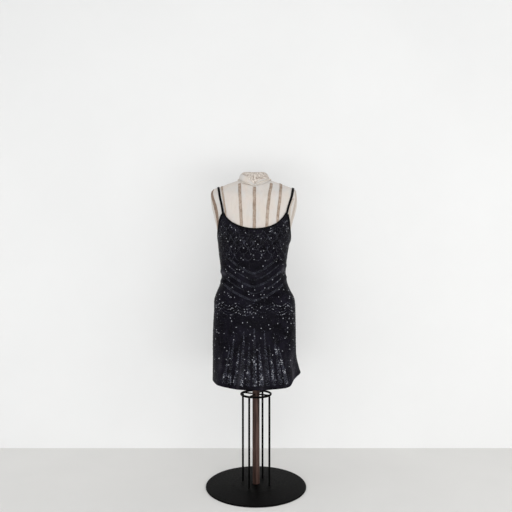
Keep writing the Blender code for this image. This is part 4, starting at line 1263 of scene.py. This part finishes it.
def placed(side, s, h):
    """The angles of places, given round from the side's own centre, and which lie on the panel."""
    if side.behind:
        angle = cloth.angle_at(s + np.where(s < 0, cloth.reach(h), cloth.reach(h, 0)), h)
        angle = np.where(angle < 0, angle + WHOLE, angle)
    else:
        angle = cloth.angle_at(s, h)
    grid = side.columns(*PANEL_CELLS)
    high = np.interp(angle, grid, side.edge_height(grid) - side.binding_height(grid) - EDGE_CLEAR)
    near_seam = np.abs(angle - side.centre) > QUARTER - SEAM_CLEAR
    return angle, (h > hem_height(angle) + HEM_CLEAR) & (h < high) & ~near_seam


# The field that clouds are drawn in: its lowest height and its left edge, then how tall and wide it is.
CLOUD_CORNER = (400, -270)
CLOUD_SIZE = (800, 560)


def cloud(rng, s, h, cell):
    """A soft random field from 0 to 1 over the cloth, with patches about as large as the cell."""
    table = rng.uniform(0, 1, [int(size / cell) + 3 for size in CLOUD_SIZE])
    low, left = CLOUD_CORNER
    return between(table, (h - low) / cell, (s - left) / cell, smooth_step)


def tones(rng, s, h, kind):
    """A tone for each place: patchy shares of slate and of silver among the jet."""
    slate, silver, cell = TONES[kind]
    value = 0.6 * cloud(rng, s, h, cell) + 0.4 * rng.uniform(0, 1, s.shape)
    order = np.argsort(np.argsort(value)) / len(value)
    return np.where(order > 1 - silver, SILVER, np.where(order > 1 - silver - slate, SLATE, JET))


def domes(kind, side, s, h, tone, rng):
    """Small faceted domes that follow the cloth: sequins if they are flat, beads if they are tall."""
    radius, rise, spread = BEADS[kind]
    angle, keep = placed(side, s, h)
    angle, h, tone = angle[keep], h[keep], tone[keep]
    here, aside, above = [
        dress_place(angle + turn, h + up, BEAD_LIFT) for turn, up in ((0, 0), (0.01, 0), (0, 1.0))
    ]
    aside = unit(aside - here)
    normal = unit(np.cross(aside, above - here))
    lean = rng.normal(0, spread, (len(h), 2))
    normal = unit(normal + aside * lean[:, :1] + np.cross(normal, aside) * lean[:, 1:])
    aside = unit(aside - normal * (aside * normal).sum(axis=1)[:, None])
    turns = rng.uniform(0, WHOLE, len(h))[:, None] + WHOLE * np.arange(BEAD_SIDES) / BEAD_SIDES
    above = np.cross(normal, aside)
    ring = aside[:, None] * np.cos(turns)[..., None] + above[:, None] * np.sin(turns)[..., None]
    points = np.concatenate((here[:, None] + ring * radius, (here + normal * radius * rise)[:, None]), axis=1)
    corner = np.arange(BEAD_SIDES)
    corners = np.stack((corner, (corner + 1) % BEAD_SIDES, corner * 0 + BEAD_SIDES), axis=1)
    faces = (np.arange(len(h))[:, None, None] * (BEAD_SIDES + 1) + corners).reshape(-1, 3).tolist()
    name = kind + ("_back" if side.behind else "_front")
    shape = make_object(name, points.reshape(-1, 3), faces, BEAD_LOOKS[0], "dress_cloth", smooth=False)
    for material in BEAD_LOOKS[1:]:
        shape.data.materials.append(material)
    shape.data.polygons.foreach_set("material_index", np.repeat(tone, BEAD_SIDES))
    return shape


def along_line(s, h, pitch, rows=1, row_gap=0):
    """Places at an even pitch along a line, in some rows side by side, as (s, height) columns."""
    at = lengths_along(np.stack((s, h), axis=1))
    marks = np.arange(0, at[-1], pitch)
    places = np.stack((np.interp(marks, at, s), np.interp(marks, at, h)))
    ds, dh = unit(np.gradient(places, axis=1).T).T
    shifts = [(row - (rows - 1) / 2) * row_gap for row in range(rows)]
    return np.concatenate([places + np.stack((-dh, ds)) * shift for shift in shifts], axis=1)


def lancet_share(s, h):
    """0 outside the lancets, and in one from 0 at its edge to 1 along its middle."""
    inside = np.zeros(s.shape)
    for k in range(-LANCETS, LANCETS + 1):
        top = LANCET_TOPS[k % 2] - LANCET_STEP * abs(k)
        down = (top - h) / (top - LANCET_FOOT)
        centre = k * LANCET_PITCH * (LANCET_LEAN + (1 - LANCET_LEAN) * down)
        half = LANCET_TIP + (LANCET_HALF_WIDTH - LANCET_TIP) * np.clip(down, 0, 1) ** LANCET_POWER
        share = 1 - np.abs(s - centre) / half
        inside = np.maximum(inside, np.where((down > 0) & (share > 0), share, 0))
    return inside


def scallops():
    """Rows of small scallops, each an arc of places."""
    arc = np.linspace(0, math.pi, 14)
    low, high = SCALLOP_HEIGHTS
    for row, h in enumerate(np.arange(high, low, -SCALLOP_TALL * SCALLOP_DROP)):
        start = -SCALLOP_REACH + (SCALLOP_WIDTH / 2 if row % 2 else 0)
        for s in np.arange(start, SCALLOP_REACH, SCALLOP_WIDTH):
            places = (s + SCALLOP_WIDTH / 2 * np.cos(arc), h - SCALLOP_TALL * np.sin(arc))
            yield along_line(*places, SCALLOP_PITCH)


def chevrons():
    """Bent lines of beads across the waist, thick and thin by turns."""
    share = np.linspace(-1, 1, 25)
    for k in range(CHEVRONS):
        h = CHEVRON_FOOT + CHEVRON_PITCH * k + CHEVRON_RISE * np.abs(share) ** CHEVRON_POWER
        s = (CHEVRON_REACH - CHEVRON_STEP * k) * share
        yield along_line(s, h, CHEVRON_BEADS, CHEVRON_ROWS[k % 2], CHEVRON_ROW_GAP)


def swags():
    """Rows of beads that hang in shallow loops round the hips."""
    s = np.linspace(-SWAG_REACH, SWAG_REACH, 300)
    for height, pitch in SWAGS:
        yield along_line(s, height - SWAG_DIP * np.abs(np.sin(s * math.pi / SWAG_WIDTH)), pitch)


def beadwork(side, seed):
    """All the beadwork of one side of the dress, as a few joined meshes."""
    rng = np.random.default_rng(seed)
    soft = np.array((JET, PEWTER, SLATE))

    def chance(share):
        return rng.uniform(0, 1, s.shape) < share

    s, h = jittered(rng, *LOOSE_FIELD)
    bust = smooth_step((h - BUST_FOOT) / BUST_REACH)
    pick = chance(LOOSE_SHARE + BUST_SHARE * bust)
    s, h, bust = s[pick], h[pick], bust[pick]
    tone = np.array((JET, PEWTER, SILVER))[tones(rng, s, h, "sequins_loose")]
    tone = np.where((bust < SKIRT_LEVEL) & chance(SKIRT_JET), JET, tone)
    pieces = [domes("sequins_loose", side, s, h, tone, rng)]

    s, h = np.concatenate(list(scallops()), axis=1)
    s = s + rng.normal(0, SCALLOP_SPREAD, s.shape)
    h = h + rng.normal(0, SCALLOP_SPREAD, h.shape)
    tone = soft[tones(rng, s, h, "sequins_scallops")]
    pieces.append(domes("sequins_scallops", side, s, h, tone, rng))

    s, h = np.concatenate(list(chevrons()), axis=1)
    tone = soft[tones(rng, s, h, "beads_chevrons")]
    pieces.append(domes("beads_chevrons", side, s, h, tone, rng))

    s, h = jittered(rng, *LANCET_FIELD)
    share = lancet_share(s, h)
    pick = (share > 0) & chance(LANCET_SHARE + (1 - LANCET_SHARE) * share)
    s, h = s[pick], h[pick]
    tone = tones(rng, s, h, "sequins_lancets")
    tone = np.where((tone == JET) & chance(LANCET_PEWTER), PEWTER, tone)
    pieces.append(domes("sequins_lancets", side, s, h, tone, rng))

    s, h = np.concatenate(list(swags()), axis=1)
    h = h + rng.normal(0, SWAG_SPREAD, h.shape)
    tone = np.where(chance(SWAG_JET), JET, tones(rng, s, h, "beads_band"))
    pieces.append(domes("beads_band", side, s, h, tone, rng))

    s, h = jittered(rng, *CRYSTAL_FIELD)
    pick = chance(CRYSTAL_SHARE)
    s, h = s[pick], h[pick]
    pieces.append(domes("crystals", side, s, h, np.full(s.shape, SILVER), rng))
    return pieces


# The stage, the light and the camera

FLOOR_REACH = 9000
WALL_REACH = 4000
WALL_Y = 470
# Area lights: name, place, aim, size, watts and colour, in metres.
LIGHTS = (
    ("overhead", (0.4, -1.7, 3.4), (0, 0.2, 0.7), (3.2, 2.0), 2.6, (1, 1, 1)),
    ("key", (2.8, -1.9, 1.5), (0, 0.1, 0.9), (1.6, 1.8), 8.2, (1, 0.985, 0.96)),
    ("fill", (-2.9, -1.9, 1.0), (0, 0.2, 0.8), (2.4, 1.8), 6.1, (0.96, 0.98, 1)),
    ("low", (0.3, -3.0, 0.35), (0, 0.4, 0.55), (4.0, 0.6), 37, (1, 1, 1)),
)
WORLD_COLOUR = (0.98, 0.99, 1, 1)
WORLD_STRENGTH = 0.825
# The camera: its place in metres, its focal length in pixels of the picture, and its film in mm.
CAMERA_PLACE = (0, -2.4, 0.965)
FOCAL_PIXELS = 571.4
PICTURE_PIXELS = 512
FILM = 36


def add(name, data):
    """A light's or a camera's object."""
    shape = bpy.data.objects.new(name, data)
    bpy.context.scene.collection.objects.link(shape)
    return shape


def make_stage():
    f, w = FLOOR_REACH, WALL_REACH
    floor_corners = [(-f, -f, 0), (f, -f, 0), (f, f, 0), (-f, f, 0)]
    wall_corners = [(-w, WALL_Y, 0), (w, WALL_Y, 0), (w, WALL_Y, w), (-w, WALL_Y, w)]
    pale_floor = pale_material("pale_floor", (0.80, 0.79, 0.77), 0.03)
    floor = make_object("floor", floor_corners, [(0, 1, 2, 3)], pale_floor, smooth=False)
    pale_wall = pale_material("pale_wall", (0.86, 0.86, 0.855), 0.02, one_sided=True)
    back_wall = make_object("back_wall", wall_corners, [(0, 1, 2, 3)], pale_wall, smooth=False)


def make_light():
    for name, place, aim, size, watts, colour in LIGHTS:
        light = bpy.data.lights.new(name, "AREA")
        light.shape = "RECTANGLE"
        light.size, light.size_y = size
        light.energy = watts
        light.color = colour
        lamp = add(name, light)
        lamp.location = place
        lamp.rotation_euler = (Vector(aim) - Vector(place)).to_track_quat("-Z", "Y").to_euler()
    world = bpy.data.worlds.new("studio")
    world.use_nodes = True
    world.node_tree.nodes["Background"].inputs["Color"].default_value = WORLD_COLOUR
    world.node_tree.nodes["Background"].inputs["Strength"].default_value = WORLD_STRENGTH
    bpy.context.scene.world = world
    bpy.context.scene.view_settings.view_transform = "Standard"


def make_camera():
    camera = bpy.data.cameras.new("camera")
    camera.sensor_width = FILM
    camera.lens = FOCAL_PIXELS / PICTURE_PIXELS * FILM
    shape = add("camera", camera)
    shape.location = CAMERA_PLACE
    shape.rotation_euler = (QUARTER, 0, 0)
    bpy.context.scene.camera = shape


def paint_frame():
    """Give the CAD nodes that stay a finished material."""
    for name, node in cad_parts.items():
        iron = name == "base" or name.startswith(("cage_arm", "cage_bar"))
        if iron or name in ("post", "form_board"):
            for place in node.material_slots:
                place.material = IRON if iron else WOOD


def main():
    surface = make_body()
    make_neck_cord(surface)
    make_neck()
    make_ring()
    make_neck_band()
    make_tapes(surface)
    front_panel = make_panel(front, "dress_front")
    back_panel = make_panel(back, "dress_back")
    front_trim, back_trim, *trims = make_bindings() + make_straps(surface)
    front_beads = beadwork(front, 11)
    back_beads = beadwork(back, 23)
    paint_frame()
    make_stage()
    make_light()
    make_camera()


main()
